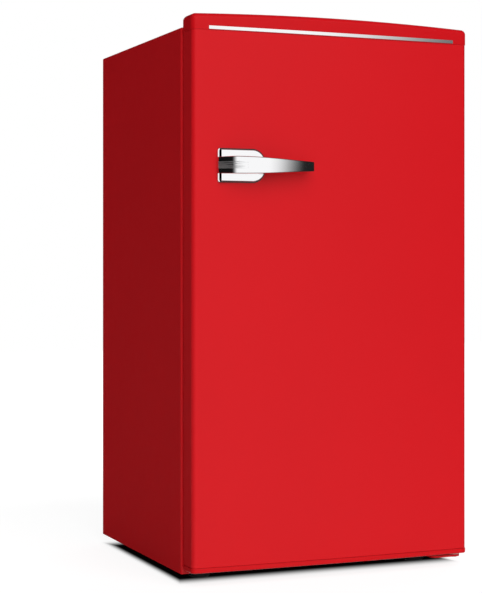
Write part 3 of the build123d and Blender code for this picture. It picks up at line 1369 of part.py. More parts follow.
def discharge_tube():
    """Hot line from the compressor out of the bay and up to the foot of the condenser."""
    y = COMPRESSOR_Y + COMPRESSOR_WIDTH / 8
    z = PAN_TOP + DISCHARGE_LIFT
    points = [
        (COMPRESSOR_END - SEAM_WIDTH, y, z),
        (CONDENSER_RISER, y, z),
        (CONDENSER_RISER, CONDENSER_Y, z),
        (CONDENSER_RISER, CONDENSER_Y, CONDENSER_FOOT),
    ]
    return tube(points, TUBE_BEND, TUBE_RADIUS) - compressor_shell()


def condenser_tube():
    """Riser and serpentine in one plane behind the rear panel."""
    points = [(CONDENSER_RISER, CONDENSER_Y, CONDENSER_FOOT), (CONDENSER_RISER, CONDENSER_Y, CONDENSER_HEAD)]
    turn = CONDENSER_PITCH / 2 - SEAM_HEIGHT / 2
    bends = [turn]
    for run in range(CONDENSER_RUNS - 1):
        side = -1 if run % 2 == 0 else 1
        z_run = CONDENSER_HEAD - run * CONDENSER_PITCH
        points += [
            (side * CONDENSER_HALF, CONDENSER_Y, z_run),
            (side * CONDENSER_HALF, CONDENSER_Y, z_run - CONDENSER_PITCH),
        ]
        bends += [turn, turn]
    points += [(-CONDENSER_RISER, CONDENSER_Y, CONDENSER_FOOT), (-CONDENSER_RISER, CONDENSER_Y, DRIER_JOINT)]
    return tube(points, bends + [TUBE_BEND], TUBE_RADIUS)


def drier_tube():
    """Line from the foot of the condenser back into the bay and down to the drier."""
    points = [
        (-CONDENSER_RISER, CONDENSER_Y, DRIER_JOINT),
        (-CONDENSER_RISER, CONDENSER_Y, DRIER_ELBOW),
        (-CONDENSER_RISER, DRIER_Y, DRIER_ELBOW),
        (-CONDENSER_RISER, DRIER_Y, DRIER_TOP),
    ]
    return tube(points, TUBE_BEND, TUBE_RADIUS)


def wire_places():
    """Positions across of the upright wires."""
    return [(index - (WIRE_COUNT - 1) / 2) * WIRE_PITCH for index in range(WIRE_COUNT)]


def condenser_wires():
    """Upright wires on both faces of the serpentine."""
    step = TUBE_RADIUS + WIRE_GAP + WIRE_RADIUS
    low, high = CONDENSER_FOOT - WIRE_OVERRUN, CONDENSER_HEAD + WIRE_OVERRUN
    wires = []
    for y in (CONDENSER_Y - step, CONDENSER_Y + step):
        for x in wire_places():
            wires.append(upright(Pos(x, y) * RegularPolygon(WIRE_RADIUS, 6), low, high))
    return group(wires)


def condenser_clips():
    """Four clips that hold the serpentine off the rear panel."""
    x = (WIRE_COUNT / 2 - 1) * WIRE_PITCH
    runs = (CONDENSER_HEAD - CONDENSER_PITCH, CONDENSER_FOOT + CONDENSER_PITCH)
    clips = []
    for side_x in (-x, x):
        for z in runs:
            span = (side_x - CLIP_WIDTH / 2, side_x + CLIP_WIDTH / 2)
            foot = block(span, (REAR, CONDENSER_Y + TUBE_RADIUS), (z - CLIP_HEIGHT / 2, z + CLIP_HEIGHT / 2))
            foot = fillet(foot.edges().filter_by(Axis.X).group_by(Axis.Y)[-1], CLIP_HEIGHT / 4)
            clips.append(foot - across(Pos(CONDENSER_Y, z) * Circle(TUBE_RADIUS + WIRE_GAP), *span))
    return group(clips)


def filter_drier():
    """Copper drier with a necked end at top and bottom."""
    low, high = DRIER_BOTTOM, DRIER_TOP
    return turned(
        [
            (0, low),
            (TUBE_RADIUS, low),
            (DRIER_RADIUS, low + DRIER_NECK),
            (DRIER_RADIUS, high - DRIER_NECK),
            (TUBE_RADIUS, high),
            (0, high),
        ],
        -CONDENSER_RISER,
        DRIER_Y,
    )


def capillary_tube():
    """Fine tube from the drier along the back of the bay and up into the insulation."""
    y = REAR - CAPILLARY_FROM_REAR
    z = BOTTOM + CAPILLARY_LEVEL
    points = [
        (-CONDENSER_RISER, DRIER_Y, DRIER_BOTTOM),
        (-CONDENSER_RISER, DRIER_Y, z),
        (-CONDENSER_RISER, y, z),
        (CAPILLARY_X, y, z),
        (CAPILLARY_X, SUCTION_Y, z + TUBE_BEND),
        (CAPILLARY_X, SUCTION_Y, BAY_TOP + CAPILLARY_TAIL),
    ]
    return tube(points, TUBE_BEND / 4, CAPILLARY_RADIUS)


# Feet

def socket_top():
    """Upper end of a foot socket."""
    return BOTTOM - SOCKET_FLANGE + FOOT_STUD_LENGTH + 2 * SOCKET_WALL


def foot_sockets():
    """Two flanged sockets in the pan that the front feet turn in."""
    low = BOTTOM - SOCKET_FLANGE
    bore = FOOT_STUD_RADIUS + RUN_CLEARANCE
    section = [
        (bore, low),
        (SOCKET_FLANGE_RADIUS, low),
        (SOCKET_FLANGE_RADIUS, BOTTOM),
        (SOCKET_RADIUS, BOTTOM),
        (SOCKET_RADIUS, socket_top()),
        (0, socket_top()),
        (0, socket_top() - SOCKET_WALL),
        (bore, socket_top() - SOCKET_WALL),
    ]
    return group(turned(section, x, FOOT_Y) for x in (-FOOT_X, FOOT_X))


def levelling_foot(side):
    """Front foot: a broad pad on a stud that screws up into its socket."""
    pad_top = FOOT_PAD
    stud_top = BOTTOM - SOCKET_FLANGE + FOOT_STUD_LENGTH
    edge = FOOT_PAD / 5
    return turned(
        [
            (0, 0),
            (FOOT_RADIUS - edge, 0),
            (FOOT_RADIUS, edge),
            (FOOT_RADIUS, pad_top - edge),
            (FOOT_RADIUS - edge, pad_top),
            (FOOT_STUD_RADIUS, pad_top),
            (FOOT_STUD_RADIUS, stud_top - edge),
            (FOOT_STUD_RADIUS - edge, stud_top),
            (0, stud_top),
        ],
        side * FOOT_X,
        FOOT_Y,
    )


def rear_feet():
    """Two fixed moulded feet under the rear corners."""
    section = [
        (0, 0),
        (REAR_FOOT_RADIUS - REAR_FOOT_TAPER, 0),
        (REAR_FOOT_RADIUS, BOTTOM),
        (0, BOTTOM),
    ]
    return group(turned(section, x, REAR_FOOT_Y) for x in (-FOOT_X, FOOT_X))


PIECES = {
    "outer_wrapper": outer_wrapper(),
    "front_rail": front_rail(),
    "base_pan": base_pan(),
    "bay_panel": bay_panel(),
    "rear_panel": rear_panel(),
    "inner_liner": inner_liner(),
    "cabinet_foam": cabinet_foam(),
    "upper_hinge_plate": upper_hinge_plate(),
    "upper_hinge_pin": upper_hinge_pin(),
    "upper_hinge_screws": upper_hinge_screws(),
    "hinge_cover": hinge_cover(),
    "lower_hinge_bracket": lower_hinge_bracket(),
    "lower_hinge_pin": lower_hinge_pin(),
    "lower_hinge_bolts": lower_hinge_bolts(),
    "upper_hinge_bush": upper_hinge_bush(),
    "lower_hinge_bush": lower_hinge_bush(),
    "door_skin": door_skin(),
    "door_top_cap": door_top_cap(),
    "door_bottom_cap": door_bottom_cap(),
    "trim_strip": trim_strip(),
    "door_liner": door_liner(),
    "door_foam": door_foam(),
    "door_gasket": door_gasket(),
    "handle_plate": handle_plate(),
    "handle_lever": handle_lever(),
    "handle_screws": handle_screws(),
    "evaporator_box": evaporator_box(),
    "evaporator_hangers": evaporator_hangers(),
    "freezer_frame": freezer_frame(),
    "freezer_flap": freezer_flap(),
    "drip_tray": drip_tray(),
    "thermostat_housing": thermostat_housing(),
    "thermostat_knob": thermostat_knob(),
    "compressor": compressor(),
    "compressor_grommets": compressor_grommets(),
    "compressor_bolts": compressor_bolts(),
    "terminal_cover": terminal_cover(),
    "cord_gland": cord_gland(),
    "evaporation_tray": evaporation_tray(),
    "drain_tube": drain_tube(),
    "suction_tube": suction_tube(),
    "discharge_tube": discharge_tube(),
    "condenser_tube": condenser_tube(),
    "drier_tube": drier_tube(),
    "condenser_wires": condenser_wires(),
    "condenser_clips": condenser_clips(),
    "filter_drier": filter_drier(),
    "capillary_tube": capillary_tube(),
    "foot_sockets": foot_sockets(),
    "left_levelling_foot": levelling_foot(-1),
    "right_levelling_foot": levelling_foot(1),
    "rear_feet": rear_feet(),
}
for shelf in SHELF_LEVELS:
    PIECES[f"{shelf}_glass"] = shelf_glass(shelf)
    PIECES[f"{shelf}_trim"] = shelf_trim(shelf)
for bin_name in BINS:
    PIECES[bin_name] = door_bin(bin_name)

os.makedirs("parts", exist_ok=True)
for node, solid in PIECES.items():
    export_step(solid, f"parts/{node}.step")
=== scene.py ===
"""Finish of a compact single-door fridge: paint, chrome, lining, cooling circuit and a plain stage."""

import json
import math

import bmesh
import bpy
from bpy.props import FloatProperty, FloatVectorProperty, IntProperty, PointerProperty
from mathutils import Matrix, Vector

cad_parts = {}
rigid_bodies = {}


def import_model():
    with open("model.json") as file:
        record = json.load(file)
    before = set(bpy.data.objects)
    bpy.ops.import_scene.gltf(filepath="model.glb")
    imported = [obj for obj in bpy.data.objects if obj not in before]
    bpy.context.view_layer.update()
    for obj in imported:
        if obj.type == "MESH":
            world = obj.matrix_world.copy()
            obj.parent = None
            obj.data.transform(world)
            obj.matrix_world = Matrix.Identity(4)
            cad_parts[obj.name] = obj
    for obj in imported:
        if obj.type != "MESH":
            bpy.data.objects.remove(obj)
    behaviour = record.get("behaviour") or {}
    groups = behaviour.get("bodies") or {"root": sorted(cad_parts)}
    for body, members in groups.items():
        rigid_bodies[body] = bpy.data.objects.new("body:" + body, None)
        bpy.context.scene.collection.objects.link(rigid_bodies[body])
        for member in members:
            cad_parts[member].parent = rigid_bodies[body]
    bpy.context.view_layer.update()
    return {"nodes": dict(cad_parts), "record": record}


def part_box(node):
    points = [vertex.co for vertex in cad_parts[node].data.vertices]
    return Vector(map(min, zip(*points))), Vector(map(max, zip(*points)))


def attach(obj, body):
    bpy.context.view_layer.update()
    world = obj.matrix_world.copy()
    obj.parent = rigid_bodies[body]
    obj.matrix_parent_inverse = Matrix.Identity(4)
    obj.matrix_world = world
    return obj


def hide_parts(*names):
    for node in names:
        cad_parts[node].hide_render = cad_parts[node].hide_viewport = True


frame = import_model()
BODIES = frame["record"]["behaviour"]["bodies"]
BODY_OF = {node: body for body, nodes in BODIES.items() for node in nodes}

bl_info = {
    "name": "Compact Fridge Finish",
    "version": (1, 0, 0),
    "blender": (4, 5, 0),
    "location": "3D View > Sidebar > Fridge",
    "description": "Dresses the parts of a compact single-door fridge and sets its stage",
    "category": "Object",
}

# Fixed sizes in metres and angles in radians

MERGE_DISTANCE = 2e-6
SHARP_ANGLE = math.radians(28)
SCREW_SHARP_ANGLE = math.radians(35)
SEAL_SHARP_ANGLE = math.radians(50)
SCREW_HEAD_RADIUS = 0.0042
SCREW_HEAD_HEIGHT = 0.0024
SCREW_SHANK_RADIUS = 0.0022
DIAL_START = math.radians(-45)
DIAL_SWEEP = math.radians(270)
MARK_WIDTH = 0.0011
MARK_HEIGHT = 0.0005
SEAL_HALF_WIDTH = 0.008

# Distance from the dial's edge to the middle of a mark, as a share of the mark's length

MARK_OFFSET = 0.85

# Streak band along the lever's root, rougher and darkened as painted shade in its grooves: length, its
# spread and half width in metres, then shares of the pattern and of the painted shade tone

STREAK_LENGTH = 0.012
STREAK_SPREAD = 0.050
STREAK_BAND = (0.0062, 0.0042)
STREAK_LINES = (0.36, 0.62)
STREAK_END = (1.0, 0.55)
STREAK_SHADE_TONE = 0.62
STREAK_ROUGHNESS = 0.42

# Painted shade on the low rim of the pull's plate: its depth and left edge in metres, and its dark tone as
# a share

RIM_DEPTH = (0.0022, 0.0032)
RIM_LEFT_EDGE = (0.0022, 0.0030)
RIM_SHADE_TONE = 0.05

# Screw heads: facets, and shares of the radius for the fall of the dome and for the cross

SCREW_STEPS = 32
SCREW_RINGS = 9
DOME_FALL = 0.72
CROSS_HALF_WIDTH = 0.13
CROSS_REACH = 0.66

# Door seal: facets of a corner, and half of its section in shares of the half width and of the depth

SEAL_CORNER_STEPS = 6
SEAL_HALF_SECTION = [
    (-0.55, 0.0), (-0.55, 0.16), (-0.84, 0.24), (-0.93, 0.33), (-0.84, 0.42), (-0.70, 0.47),
    (-0.84, 0.53), (-0.98, 0.62), (-1.0, 0.76), (-0.96, 0.92), (-0.86, 1.0), (-0.30, 0.97),
]

# Ground: its reach and the fade of its real shadow in metres, and the painted shadow under the fridge in
# shares of its depth

GROUND_REACH = 6.0
PAINTED_SHADOW_PAST_RIGHT = 0.08
PAINTED_SHADOW_PAST_REAR = 0.5
PAINTED_SHADOW_PAST_SIDES = 0.60
SIDE_STEEPNESS = 2.8
PAINTED_SHADOW_CLEAR_DEPTH = 0.41
# Nearly black base colour of the painted shadow under the fridge
PAINTED_SHADOW_TONE = (0.01, 0.01, 0.01)
PALE_TONE = (0.9, 0.9, 0.9)
GROUND_GLOW = 1.16
SHADOW_SHARE = 0.25
SHADOW_FADE = (1.2, 0.3)

# Light: the front key, and what the plating mirrors by direction, with right, rear and up as positive

KEY_PLACE = (0.05, -2.6, 2.0)
KEY_AIM = (0, 0, 0.2)
KEY_SPREAD = math.radians(65)
WALL_LEFT_FADE = (-0.92, -0.25)
WALL_LEFT_POWER = 1.2
WALL_RIGHT_FADE = (0.59, 0.40)
WALL_FRONT_FADE = (-0.20, -0.50)
WALL_HEIGHT_FADE = (0.85, 0.45)
FILL_REAR_FADE = (0.10, 0.50)
FILL_RIGHT_FADE = (0.0, 0.20)
FILL_HEIGHT_FADE = (0.20, 0.02)
FILL_FAR_RIGHT_FADE = (0.75, 0.45)
DIM_MIRROR = 0.015
DIM_FADE = (-0.5, 0.4)

# Camera: width of the frame in millimetres

SENSOR_WIDTH = 36.0

# Tones of the finishes that have no setting

ZINC_SHEET = (0.58, 0.59, 0.60)
ZINC_PLATE = (0.62, 0.61, 0.56)
NYLON = (0.78, 0.75, 0.66)
ALUMINIUM = (0.78, 0.79, 0.80)
BLACK_PLASTIC = (0.022, 0.022, 0.024)
RUBBER = (0.006, 0.006, 0.007)
DIAL_INK = (0.05, 0.06, 0.08)


# Settings


def colour(name, words, default):
    """Colour setting."""
    form = {"subtype": "COLOR", "size": 3, "min": 0, "max": 1}
    return FloatVectorProperty(name=name, description=words, default=default, **form)


def length(name, words, default):
    """Length setting in metres."""
    form = {"unit": "LENGTH", "subtype": "DISTANCE", "precision": 5}
    return FloatProperty(name=name, description=words, default=default, **form)


def share(name, words, default):
    """Setting between nothing and all."""
    return FloatProperty(name=name, description=words, default=default, min=0, max=1, subtype="FACTOR")


def count(name, words, default):
    """Setting for a number of like things."""
    return IntProperty(name=name, description=words, default=default, min=2)


class FridgeColours(bpy.types.PropertyGroup):
    """Colours and gloss of the finishes."""

    paint: colour("Paint", "Red of the painted door and cabinet", (0.64, 0.0055, 0.0105))
    moulding: colour("Moulding", "Red of the door's moulded caps", (0.60, 0.0042, 0.0085))
    lining: colour("Lining", "White of the formed lining", (0.83, 0.84, 0.83))
    seal: colour("Seal", "Off-white of the door seal", (0.72, 0.72, 0.70))
    chrome: colour("Chrome", "Reflection of the bright plating", (0.93, 0.93, 0.94))
    foam: colour("Foam", "Pale yellow of the insulation", (0.80, 0.66, 0.36))
    glass: colour("Glass", "Tint of the shelf panes", (0.86, 0.95, 0.92))
    clear: colour("Clear moulding", "Tint of the bins and the drip tray", (0.88, 0.94, 0.96))
    black: colour("Black", "Black of the compressor and condenser", (0.018, 0.018, 0.020))
    copper: colour("Copper", "Colour of the copper lines", (0.72, 0.34, 0.18))
    paint_gloss: share("Paint roughness", "Mean roughness of the paint", 0.34)
    chrome_gloss: share("Chrome roughness", "Mean roughness of the plating", 0.06)


class FridgeSizes(bpy.types.PropertyGroup):
    """Sizes of the pieces that are made here."""

    wire_radius: length("Wire radius", "Radius of a condenser wire", 0.0008)
    wire_pitch: length("Wire pitch", "Distance between condenser wires", 0.016)
    wire_count: count("Wires", "Condenser wires on each face", 18)
    screw_recess: length("Screw recess", "Depth of the cross in a screw head", 0.0011)
    seal_corner: length("Seal corner", "Corner radius along the middle of the seal", 0.011)
    mark_count: count("Dial marks", "Raised marks round the thermostat dial", 8)
    mark_length: length("Mark length", "Length of a mark round the dial", 0.0032)


class FridgeStage(bpy.types.PropertyGroup):
    """Camera, light and ground."""

    eye: FloatVectorProperty(
        name="Camera",
        description="Place of the camera",
        default=(-1.0283, -2.3392, 0.4647),
        subtype="TRANSLATION",
    )
    turn: FloatProperty(
        name="Camera turn",
        description="Turn of the level camera to the right",
        default=math.radians(22.376),
        subtype="ANGLE",
    )
    lens: FloatProperty(
        name="Lens", description="Focal length on a 36 mm frame", default=96.22, unit="CAMERA"
    )
    drop: FloatProperty(name="Drop", description="Downward shift of the frame", default=-0.0514)
    key: FloatProperty(name="Key", description="Strength of the broad front light", default=2.42)
    ambient: share("Ambient", "Even light from all round", 0.16)
    rear_fill: share("Rear fill", "Light from behind on the right", 1.0)
    # Painted shadow: the distance over which the ground's colour turns dark under the fridge
    painted_shadow_depth: length("Shadow depth", "Distance over which the ground turns dark", 0.085)


# Node trees


class Graph:
    """Node tree that adds any node in one call: its type, its sockets and its named options."""

    def __init__(self, tree):
        self.tree = tree

    def node(self, kind, sockets=None, **options):
        made = self.tree.nodes.new(kind)
        for name, value in options.items():
            setattr(made, name, value)
        for key, value in (sockets or {}).items():
            self.feed(made.inputs[key], value)
        return made

    def feed(self, socket, value):
        if isinstance(value, Value):
            value = value.socket
        if isinstance(value, bpy.types.NodeSocket):
            self.tree.links.new(value, socket)
        else:
            socket.default_value = value

    def value(self, socket):
        return Value(self, socket)

    def axes(self, vector):
        """The three numbers of a vector."""
        parts = self.node("ShaderNodeSeparateXYZ", {0: vector})
        return [self.value(parts.outputs[axis]) for axis in "XYZ"]


class Value:
    """Number on a socket; arithmetic on it adds Math nodes."""

    def __init__(self, graph, socket):
        self.graph = graph
        self.socket = socket

    def math(self, operation, first, second):
        made = self.graph.node("ShaderNodeMath", {0: first, 1: second}, operation=operation)
        return Value(self.graph, made.outputs[0])

    def __add__(self, other):
        return self.math("ADD", self, other)

    def __radd__(self, other):
        return self.math("ADD", other, self)

    def __sub__(self, other):
        return self.math("SUBTRACT", self, other)

    def __rsub__(self, other):
        return self.math("SUBTRACT", other, self)

    def __mul__(self, other):
        return self.math("MULTIPLY", self, other)

    def __rmul__(self, other):
        return self.math("MULTIPLY", other, self)

    def __truediv__(self, other):
        return self.math("DIVIDE", self, other)

    def power(self, exponent):
        return self.math("POWER", self, exponent)

    def size(self):
        return self.math("ABSOLUTE", self, 0.0)

    def larger(self, other):
        return self.math("MAXIMUM", self, other)

    def ease(self, start, end):
        """Number that goes smoothly from 0 at the start to 1 at the end."""
        sockets = {"Value": self, "From Min": start, "From Max": end}
        made = self.graph.node("ShaderNodeMapRange", sockets, interpolation_type="SMOOTHSTEP", clamp=True)
        return Value(self.graph, made.outputs[0])


class Finish(Graph):
    """Material with one Principled shader and patterns on Object coordinates."""

    def __init__(self, name):
        self.material = bpy.data.materials.new(name)
        self.material.use_nodes = True
        super().__init__(self.material.node_tree)
        self.shader = self.tree.nodes["Principled BSDF"]
        self.place = self.node("ShaderNodeTexCoord").outputs["Object"]

    def stretched(self, scale):
        mapping = self.node("ShaderNodeMapping", {"Vector": self.place, "Scale": scale})
        return mapping.outputs["Vector"]

    def noise(self, scale, detail=3.0, place=None):
        sockets = {"Vector": place or self.place, "Scale": scale, "Detail": detail, "Roughness": 0.55}
        return self.value(self.node("ShaderNodeTexNoise", sockets).outputs["Fac"])

    def cells(self, scale, output="Distance"):
        made = self.node("ShaderNodeTexVoronoi", {"Vector": self.place, "Scale": scale})
        return made.outputs[output]

    def mix(self, factor, first, second):
        sockets = {0: factor, 6: (*first, 1.0), 7: (*second, 1.0)}
        return self.node("ShaderNodeMix", sockets, data_type="RGBA").outputs[2]

    def tones(self, factor, tint, spread):
        """Two tones of one colour, a little darker and a little lighter."""
        dark = [channel * (1 - spread) for channel in tint]
        light = [min(1.0, channel * (1 + spread)) for channel in tint]
        return self.mix(factor, dark, light)

    def bump(self, height, strength, distance):
        sockets = {"Height": height, "Strength": strength, "Distance": distance}
        made = self.node("ShaderNodeBump", sockets)
        self.feed(self.shader.inputs["Normal"], made.outputs["Normal"])

    def put_out(self, shader):
        output = next(node for node in self.tree.nodes if node.type == "OUTPUT_MATERIAL")
        self.feed(output.inputs["Surface"], shader)

    def set(self, **sockets):
        """Feeds the shader's sockets, named in small letters with underscores."""
        for name, value in sockets.items():
            label = name.replace("_", " ").title().replace("Ior", "IOR")
            self.feed(self.shader.inputs[label], value)


# Finishes


def about(mean, spread, pattern):
    """Number that varies about a mean with a pattern that runs from 0 to 1."""
    return mean - spread / 2 + spread * pattern


def sprayed_paint(name, tint, gloss):
    """Gloss paint on sheet steel: fine orange peel and a faint drift of tone."""
    finish = Finish(name)
    peel = finish.noise(520, detail=2)
    drift = finish.noise(4.5, detail=3)
    finish.set(
        base_color=finish.tones(drift, tint, spread=0.035),
        roughness=about(gloss, 0.06, finish.noise(60)),
        specular_ior_level=0.22,
    )
    finish.bump(peel, strength=0.035, distance=0.0004)
    return finish.material


def gloss_moulding(name, tint, roughness, grain=1500, strength=0.05, shine=0.28):
    """Moulded plastic: fine grain, slight mottle and roughness that varies with handling."""
    finish = Finish(name)
    finish.set(
        base_color=finish.tones(finish.noise(11, detail=4), tint, spread=0.03),
        roughness=about(roughness, 0.08, finish.noise(38, detail=4)),
        specular_ior_level=shine,
    )
    finish.bump(finish.noise(grain, detail=2), strength=strength, distance=0.0002)
    return finish.material


def wiped_gloss(finish, gloss, place=None):
    """Roughness of chrome with a trace of wiping marks."""
    return about(gloss, gloss * 0.8, finish.noise(90, detail=3, place=place))


def plated(finish, tone, roughness):
    """Ends a chrome finish with its tone, its gloss and the faint waviness of polished plate."""
    finish.set(base_color=tone, roughness=roughness, metallic=1.0)
    finish.bump(finish.noise(30, detail=2), strength=0.012, distance=0.0006)
    return finish.material


def bright_plating(name, tint, gloss):
    """Chrome plate, wiped along its length."""
    finish = Finish(name)
    roughness = wiped_gloss(finish, gloss, finish.stretched((0.25, 1, 1)))
    return plated(finish, finish.tones(finish.noise(24), tint, spread=0.02), roughness)


def plating_with_painted_groove_shade(name, tint, gloss):
    """Chrome plate of the lever with a streaked band along the root: rougher there, and darker in tone as
    painted shade in its fine grooves.
    """
    finish = Finish(name)
    low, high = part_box("handle_lever")
    x, _, z = finish.axes(finish.place)
    along = x - low[0]
    across = (z - (low[2] + high[2]) / 2).size()
    lines = finish.noise(430, detail=2, place=finish.stretched((0.05, 0.05, 1))).ease(*STREAK_LINES)
    reach = finish.noise(260, detail=1, place=finish.stretched((0.0, 0.0, 1)))
    root = (along / (STREAK_LENGTH + STREAK_SPREAD * reach)).ease(*STREAK_END)
    streaks = lines * root * across.ease(*STREAK_BAND)
    # Painted shade: the chrome's tone darkened where the grooves lie, while the roughness below is real
    groove_shade_tone = [channel * STREAK_SHADE_TONE for channel in tint]
    roughness = wiped_gloss(finish, gloss) + STREAK_ROUGHNESS * streaks
    return plated(finish, finish.mix(streaks, tint, groove_shade_tone), roughness)


def plating_with_painted_rim_shade(name, tint, gloss):
    """Chrome plate of the pull's base, with painted shade that turns its low rim nearly black along the
    top, bottom and right.
    """
    finish = Finish(name)
    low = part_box("handle_plate")[0]
    x, y, _ = finish.axes(finish.place)
    # Painted shade: the rim behind the pad is darkened to near black, except along its left edge
    rim = (y - low[1]).ease(*RIM_DEPTH) * (x - low[0]).ease(*RIM_LEFT_EDGE)
    black = [channel * RIM_SHADE_TONE for channel in tint]
    return plated(finish, finish.mix(rim, tint, black), wiped_gloss(finish, gloss))


def spangled_zinc(name, tint, scale, roughness, metallic=1.0):
    """Galvanised sheet: crystal spangle in tone and gloss."""
    finish = Finish(name)
    spangle = finish.node("ShaderNodeSeparateColor", {0: finish.cells(scale, output="Color")})
    flake = finish.value(spangle.outputs[0])
    finish.set(
        base_color=finish.tones(flake, tint, spread=0.14),
        roughness=about(roughness, 0.18, flake),
        metallic=metallic,
    )
    finish.bump(finish.noise(700, detail=2), strength=0.04, distance=0.0002)
    return finish.material


def rolled_metal(name, tint, roughness, direction):
    """Bare sheet or drawn tube with fine lines along its working direction."""
    finish = Finish(name)
    lines = finish.noise(240, detail=4, place=finish.stretched(direction))
    stain = finish.noise(19, detail=5)
    finish.set(
        base_color=finish.tones(stain, tint, spread=0.12),
        roughness=roughness - 0.08 + 0.10 * lines + 0.08 * stain,
        metallic=1.0,
    )
    finish.bump(lines, strength=0.05, distance=0.0002)
    return finish.material


def satin_black(name, tint, roughness, grain):
    """Black paint or moulding with a fine texture and a little dust in its tone."""
    finish = Finish(name)
    dust = finish.noise(14, detail=6).power(2.0)
    finish.set(
        base_color=finish.mix(dust, tint, [channel + 0.03 for channel in tint]),
        roughness=roughness - 0.05 + 0.14 * dust,
        specular_ior_level=0.4,
    )
    finish.bump(finish.noise(grain, detail=3), strength=0.12, distance=0.0003)
    return finish.material


def soft_seal(name, tint):
    """Soft extruded seal, matt with faint lines of the die."""
    finish = Finish(name)
    lines = finish.noise(900, detail=2, place=finish.stretched((1, 0.02, 1)))
    mottle = finish.noise(20, detail=4)
    finish.set(base_color=finish.tones(mottle, tint, spread=0.05), roughness=0.5 + 0.12 * lines)
    finish.bump(lines, strength=0.06, distance=0.0002)
    return finish.material


def foamed_filling(name, tint):
    """Foamed insulation with open cells and a cured skin."""
    finish = Finish(name)
    cell = finish.value(finish.cells(420))
    mottle = finish.noise(40, detail=5)
    finish.set(base_color=finish.tones(mottle, tint, spread=0.12), roughness=0.85 + 0.1 * cell)
    finish.bump(cell, strength=0.5, distance=0.001)
    return finish.material


def clear_sheet(name, tint, roughness, ior):
    """Clear glass or plastic with a faint haze that varies over it."""
    finish = Finish(name)
    finish.set(
        base_color=finish.tones(finish.noise(9, detail=3), tint, spread=0.02),
        roughness=about(roughness, roughness * 0.6, finish.noise(34, detail=4)),
        transmission_weight=1.0,
        ior=ior,
    )
    return finish.material


FINISHES = {}


def finish_of(name):
    """Material by its plain name, made on first use."""
    if name not in FINISHES:
        FINISHES[name] = make_finish(name)
    return FINISHES[name]


def make_finish(name):
    """Builds the named material from its recipe: a maker, a tint and what else the maker asks for."""
    colours = bpy.context.scene.fridge_colours
    plating = dict(gloss=colours.chrome_gloss)
    recipes = {
        "red_paint": (sprayed_paint, colours.paint, dict(gloss=colours.paint_gloss)),
        "red_moulding": (gloss_moulding, colours.moulding, dict(roughness=0.32, shine=0.18)),
        "chrome_plate": (bright_plating, colours.chrome, plating),
        "grooved_chrome": (plating_with_painted_groove_shade, colours.chrome, plating),
        "edged_chrome": (plating_with_painted_rim_shade, colours.chrome, plating),
        "galvanised_sheet": (spangled_zinc, ZINC_SHEET, dict(scale=95, roughness=0.42, metallic=0.6)),
        "zinc_plate": (spangled_zinc, ZINC_PLATE, dict(scale=600, roughness=0.34)),
        "white_lining": (gloss_moulding, colours.lining, dict(roughness=0.3, grain=900, strength=0.04)),
        "white_moulding": (gloss_moulding, colours.lining, dict(roughness=0.38, grain=1800, strength=0.08)),
        "natural_nylon": (gloss_moulding, NYLON, dict(roughness=0.45, grain=1400, strength=0.1)),
        "door_seal": (soft_seal, colours.seal, {}),
        "insulation": (foamed_filling, colours.foam, {}),
        "shelf_glass": (clear_sheet, colours.glass, dict(roughness=0.015, ior=1.52)),
        "clear_moulding": (clear_sheet, colours.clear, dict(roughness=0.06, ior=1.49)),
        "freezer_sheet": (rolled_metal, ALUMINIUM, dict(roughness=0.36, direction=(0.03, 1, 1))),
        "copper_line": (rolled_metal, colours.copper, dict(roughness=0.32, direction=(1, 1, 0.05))),
        "black_enamel": (satin_black, colours.black, dict(roughness=0.36, grain=600)),
        "black_moulding": (satin_black, BLACK_PLASTIC, dict(roughness=0.5, grain=1600)),
        "black_rubber": (satin_black, RUBBER, dict(roughness=0.8, grain=900)),
        "dial_mark": (satin_black, DIAL_INK, dict(roughness=0.5, grain=1200)),
    }
    maker, tint, options = recipes[name]
    return maker(name, tint, **options)


# Mesh helpers


def new_piece(name, mesh, finish):
    """Object at the origin with its finish, added to the scene."""
    mesh.materials.clear()
    mesh.materials.append(finish_of(finish))
    piece = bpy.data.objects.new(name, mesh)
    bpy.context.scene.collection.objects.link(piece)
    return piece


def shade_by_angle(build, limit=SHARP_ANGLE):
    """Smooth faces, with edges kept sharp where the surface really turns."""
    for face in build.faces:
        face.smooth = True
    for edge in build.edges:
        edge.smooth = len(edge.link_faces) == 2 and edge.calc_face_angle(0.0) < limit


def dressed(node, finish):
    """Smooth-shaded copy of a CAD piece that stands for it."""
    mesh = frame["nodes"][node].data.copy()
    build = bmesh.new()
    build.from_mesh(mesh)
    bmesh.ops.remove_doubles(build, verts=build.verts, dist=MERGE_DISTANCE)
    shade_by_angle(build)
    build.to_mesh(mesh)
    build.free()
    piece = new_piece(f"{node}_finish", mesh, finish)
    weighted = piece.modifiers.new("even_faces", "WEIGHTED_NORMAL")
    weighted.keep_sharp = True
    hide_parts(node)
    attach(piece, BODY_OF[node])


def painted(node, finish):
    """CAD piece that keeps its own shape and gets a finish."""
    mesh = frame["nodes"][node].data
    mesh.materials.clear()
    mesh.materials.append(finish_of(finish))


def geometry_tree(name, inputs):
    """Empty Geometry Nodes tree with named inputs; returns its graph and the input and output nodes."""
    tree = bpy.data.node_groups.new(name, "GeometryNodeTree")
    for label, kind in inputs:
        tree.interface.new_socket(label, in_out="INPUT", socket_type=kind)
    tree.interface.new_socket("Geometry", in_out="OUTPUT", socket_type="NodeSocketGeometry")
    graph = Graph(tree)
    return graph, graph.node("NodeGroupInput"), graph.node("NodeGroupOutput")


def end_tree(graph, instances, material, output):
    """Ends a tree: instances made real and given their material."""
    real = graph.node("GeometryNodeRealizeInstances", {"Geometry": instances})
    sockets = {"Geometry": real.outputs[0], "Material": material}
    coated = graph.node("GeometryNodeSetMaterial", sockets)
    graph.feed(output.inputs[0], coated.outputs[0])


